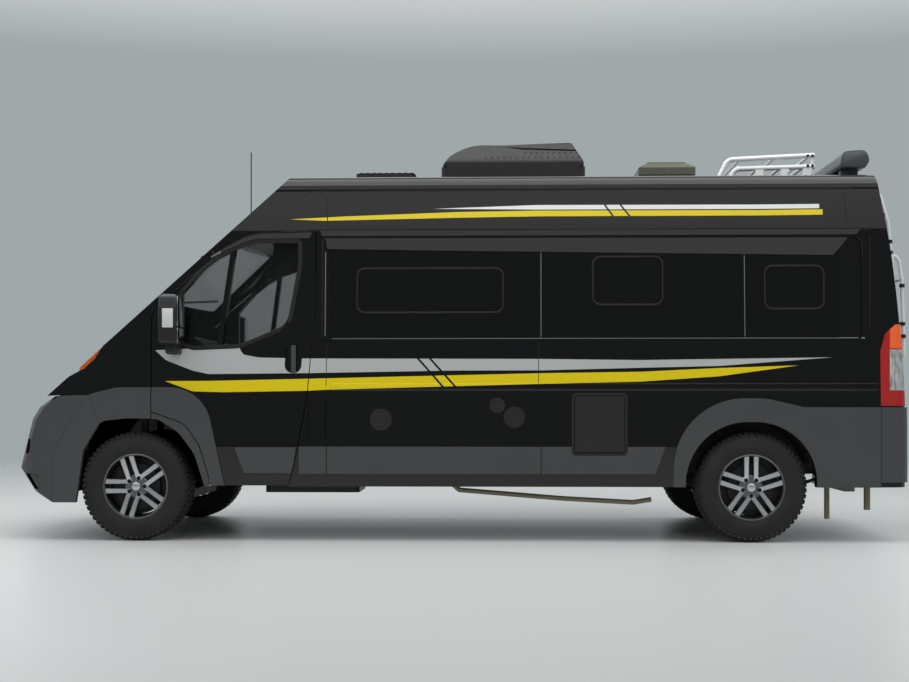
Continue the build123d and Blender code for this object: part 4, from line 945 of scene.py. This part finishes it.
# Roof fan: slats across it
SLAT_COUNT = 9
SLAT_STEP = 0.045
bm = bmesh.new()
for i in range(SLAT_COUNT):
    add_block(bm, (at(1.40 + i * SLAT_STEP), -0.19, 2.540), (at(1.425 + i * SLAT_STEP), 0.19, 2.552), 0.003)
finish_piece("roof_fan_slats", bm, BLACK_PLASTIC)

# Vent lid: ribs along its top
RIB_COUNT = 5
RIB_STEP = 0.065
RIB_HALF = 0.006
bm = bmesh.new()
for i in range(RIB_COUNT):
    y = -0.13 + i * RIB_STEP
    add_block(bm, (at(3.45), y - RIB_HALF, 2.6195), (at(3.72), y + RIB_HALF, 2.6245), 0.002)
finish_piece("vent_lid_ribs", bm, SMOKED, "vent_lid")

# Awning: a cap on each end of its case
AWNING_END = ((4.680, 2.503, 0.028), (4.701, 2.584, 0.035), (4.842, 2.596, 0.045), (4.864, 2.528, 0.035),
              (4.838, 2.486, 0.01), (4.692, 2.486, 0.01))
AWNING_HALF = 0.7195
CAP_THICKNESS = 0.008
bm = bmesh.new()
for _, side in SIDES:
    corners = [(at(x), side * AWNING_HALF, z) for x, z in rounded(AWNING_END)]
    add_prism(bm, corners, (0, side * CAP_THICKNESS, 0), 0.003)
finish_piece("awning_end_caps", bm, CAP_GREY)

# Luggage rack: bolts at its rear ends
BOLT_X = (4.505, 4.537)
BOLT_Y = 0.5185
BOLT_Z = (2.530, 2.598)
BOLT_R = 0.009
bm = bmesh.new()
for _, side in SIDES:
    for x in BOLT_X:
        for z in BOLT_Z:
            bmesh.ops.create_cone(bm, cap_ends=True, segments=16, radius1=BOLT_R, radius2=BOLT_R, depth=0.006,
                                  matrix=Matrix.Translation((at(x), side * BOLT_Y, z)) @ ACROSS)
finish_piece("rack_bolts", bm, DARK_STEEL)

# Rear doors: everything on them is placed by the doors' outer face near the ladder
TAIL = skin_tree("left_rear_door", "left_rear_glass", "right_rear_door", "right_rear_glass")


def tail_place(z):
    """Outer face of the rear doors at a height."""
    return TAIL.ray_cast(Vector((3.4, -0.65, z)), Vector((-1, 0, 0)))[0].x


# Ladder clamps: height and distance behind the door
CLAMPS = ((1.976, 0.060), (1.904, 0.056), (1.684, 0.104), (1.637, 0.042), (1.431, 0.078), (1.396, 0.035),
          (1.349, 0.070))
LADDER_Y = (-0.8, -0.5)
CLAMP_R = 0.018
bm = bmesh.new()
for z, gap in CLAMPS:
    for y in LADDER_Y:
        bmesh.ops.create_cone(bm, cap_ends=True, segments=20, radius1=CLAMP_R, radius2=CLAMP_R, depth=0.022,
                              matrix=Matrix.Translation((tail_place(z) + gap, y, z)))
finish_piece("ladder_clamps", bm, BLACK_PLASTIC, "left_rear_door")


def add_tail_block(bm, middle_z, ys, zs, reach, round_by):
    """Block on the rear doors, sunk into their face by the same small amount."""
    x = tail_place(middle_z)
    add_block(bm, (x - 0.004, ys[0], zs[0]), (x + reach, ys[1], zs[1]), round_by)


# Hinges on each door, then the handle, the blank plate place and the high brake lamp on the right one
HINGE_Z = (0.78, 1.30, 2.10)
HINGE_HALF = 0.05
for name, side in SIDES:
    bm = bmesh.new()
    for z in HINGE_Z:
        add_tail_block(bm, z, across_y(side, 0.84, 0.93), (z - HINGE_HALF, z + HINGE_HALF), 0.014, 0.005)
    finish_piece(f"{name}_rear_hinges", bm, BLACK_PLASTIC, f"{name}_rear_door")
# Name, finish, height of the face, reach across, heights, how far it stands off and its rounding
TAIL_PIECES = (("rear_handle", BLACK_PLASTIC, 1.08, (0.05, 0.21), (1.04, 1.12), 0.02, 0.008),
               ("plate_place", WHITE_PLASTIC, 0.86, (0.08, 0.60), (0.80, 0.925), 0.008, 0.004),
               ("high_brake_lamp", RED_LENS, 2.16, (0.02, 0.20), (2.14, 2.175), 0.012, 0.004))
for name, finish, middle_z, *sizes in TAIL_PIECES:
    bm = bmesh.new()
    add_tail_block(bm, middle_z, *sizes)
    finish_piece(name, bm, finish, "right_rear_door")

# Sliding door: handle bar
bm = bmesh.new()
door_y = SKIN.ray_cast(Vector((at(2.565), CLEAR_Y, 1.1)), Vector((0, -1, 0)))[0].y
add_block(bm, (at(2.55), door_y - 0.004, 1.135), (at(2.58), door_y + 0.010, 1.27), 0.004)
finish_piece("slider_handle", bm, BLACK_PLASTIC)

# Wipers on the windscreen: both ends as distance across and height, and the blade's section
GLASS_TREE = skin_tree("windscreen")
WIPERS = (((0.12, 1.64), (0.78, 1.70)), ((-0.62, 1.64), (0.02, 1.70)))
WIPER_STEPS = 12
WIPER_LIFT = 0.008
BLADE = [(-0.006, -0.006), (0.006, -0.006), (0.004, 0.008), (-0.004, 0.008)]
bm = bmesh.new()
for start, stop in WIPERS:
    path = []
    faces = []
    for i in range(WIPER_STEPS + 1):
        y, z = (a + (b - a) * i / WIPER_STEPS for a, b in zip(start, stop))
        spot, face, _, _ = GLASS_TREE.ray_cast(Vector((-3.2, y, z)), Vector((1, 0, 0)))
        if spot is not None:
            out = face if face.x < 0 else -face
            path.append(spot + out * WIPER_LIFT)
            faces.append(out)
    add_sweep(bm, path, faces, BLADE)
finish_piece("wipers", bm, BLACK_PLASTIC)

# Pipes under the left side, from the middle: a drain hose along the sill and two short drains at the tail
HOSE = ((2.05, 0.40), (2.131, 0.33), (2.814, 0.275), (3.281, 0.25), (3.40, 0.27))
HOSE_Y = -0.86
# Drains: distance behind the axle, top, foot and radius
DRAINS = ((4.567, 0.40, 0.14, 0.018), (4.831, 0.42, 0.20, 0.022))
DRAIN_Y = -0.80
bm = bmesh.new()
add_tube(bm, [(at(x), HOSE_Y, z) for x, z in HOSE], 0.016)
for x, top, foot, radius in DRAINS:
    add_tube(bm, [(at(x), DRAIN_Y, top), (at(x), DRAIN_Y, foot)], radius)
finish_piece("drain_pipes", bm, PIPE)

# Stage: a pale floor that fades into a pale room, lit from above
ROOM_AHEAD = srgb(160, 168, 170)
ROOM_BEHIND = srgb(122, 127, 129)
FLOOR_TONE = srgb(226, 228, 228)
# Share of the view's direction across the van at which the wall ahead has its full tone
AHEAD_START = 0.35
CEILING = (1.0, 1.0, 1.0, 1.0)
# Brightness overhead: height of the view direction and share of white
CEILING_STOPS = ((0.24, 0.0), (0.36, 1.0), (0.62, 1.0), (0.86, 0.15))
FLOOR_RADIUS = 16.0
FADE_START = 5.0
FADE_STOP = FLOOR_RADIUS - 2


def floor_finish():
    """Pale, slightly polished floor that fades out with distance."""
    floor = Finish("pale_floor", FLOOR_TONE, 0.32)
    floor.bump(floor.noise(90, 2.0), 0.00004)
    length = floor.nodes.new("ShaderNodeVectorMath")
    length.operation = "LENGTH"
    floor.links.new(floor.place, length.inputs[0])
    fade = floor.spread(length.outputs["Value"], 1, 0, FADE_START, FADE_STOP)
    floor.put(floor.shader.inputs["Alpha"], fade)
    return floor.material


def add_floor():
    bm = bmesh.new()
    bmesh.ops.create_circle(bm, cap_ends=True, radius=FLOOR_RADIUS, segments=96)
    mesh = bpy.data.meshes.new("floor")
    bm.to_mesh(mesh)
    floor = bpy.data.objects.new("floor", mesh)
    mesh.materials.append(floor_finish())
    bpy.context.scene.collection.objects.link(floor)


def add_room():
    """Grey room that grows bright overhead, like a wide ceiling light."""
    world = bpy.data.worlds.new("room")
    world.use_nodes = True
    bpy.context.scene.world = world
    nodes = world.node_tree.nodes
    links = world.node_tree.links
    place = nodes.new("ShaderNodeTexCoord")
    split = nodes.new("ShaderNodeSeparateXYZ")
    links.new(place.outputs["Generated"], split.inputs[0])
    walls = nodes.new("ShaderNodeValToRGB")
    walls.color_ramp.elements[0].position = 0.0
    walls.color_ramp.elements[0].color = ROOM_BEHIND
    walls.color_ramp.elements[1].position = AHEAD_START
    walls.color_ramp.elements[1].color = ROOM_AHEAD
    links.new(split.outputs[1], walls.inputs["Fac"])
    height = nodes.new("ShaderNodeValToRGB")
    height.color_ramp.elements[0].position = CEILING_STOPS[0][0]
    height.color_ramp.elements[0].color = (CEILING_STOPS[0][1],) * 3 + (1.0,)
    height.color_ramp.elements[1].position = CEILING_STOPS[-1][0]
    height.color_ramp.elements[1].color = (CEILING_STOPS[-1][1],) * 3 + (1.0,)
    for position, share in CEILING_STOPS[1:-1]:
        height.color_ramp.elements.new(position).color = (share,) * 3 + (1.0,)
    links.new(split.outputs[2], height.inputs["Fac"])
    blend = nodes.new("ShaderNodeMix")
    blend.data_type = "RGBA"
    blend.inputs["B"].default_value = CEILING
    links.new(height.outputs["Color"], blend.inputs["Factor"])
    links.new(walls.outputs["Color"], blend.inputs["A"])
    background = nodes["Background"]
    background.inputs["Strength"].default_value = 1.0
    links.new(blend.outputs["Result"], background.inputs["Color"])


def add_lamp(name, place, aim, width, height, power):
    """Large soft lamp at place, facing aim."""
    light = bpy.data.lights.new(name, "AREA")
    light.shape = "RECTANGLE"
    light.size = width
    light.size_y = height
    light.energy = power
    lamp = bpy.data.objects.new(name, light)
    bpy.context.scene.collection.objects.link(lamp)
    lamp.location = place
    lamp.rotation_euler = (Vector(aim) - Vector(place)).to_track_quat("-Z", "Y").to_euler()


# Camera: fitted to the wheels and rims of the photograph
SENSOR = 36.0
FOCAL_PIXELS = 1381.95
IMAGE_WIDTH = 909
IMAGE_HEIGHT = 682
HORIZON_ROW = 401.2
CAMERA_PLACE = (2.3892 - MID, -10.0399, 0.9193)
CAMERA_TURN = 0.03166


def add_camera():
    lens = bpy.data.cameras.new("camera")
    lens.sensor_width = SENSOR
    lens.lens = FOCAL_PIXELS * SENSOR / IMAGE_WIDTH
    lens.shift_y = (HORIZON_ROW - IMAGE_HEIGHT / 2) / IMAGE_WIDTH
    camera = bpy.data.objects.new("camera", lens)
    camera.location = CAMERA_PLACE
    camera.rotation_euler = (pi / 2, 0, CAMERA_TURN)
    bpy.context.scene.collection.objects.link(camera)
    bpy.context.scene.camera = camera


add_floor()
add_room()
add_lamp("ceiling", (0.0, -1.5, 5.5), (0.0, 0.0, 0.0), 9.0, 4.0, 260)
add_camera()
bpy.context.scene.view_settings.view_transform = "Standard"
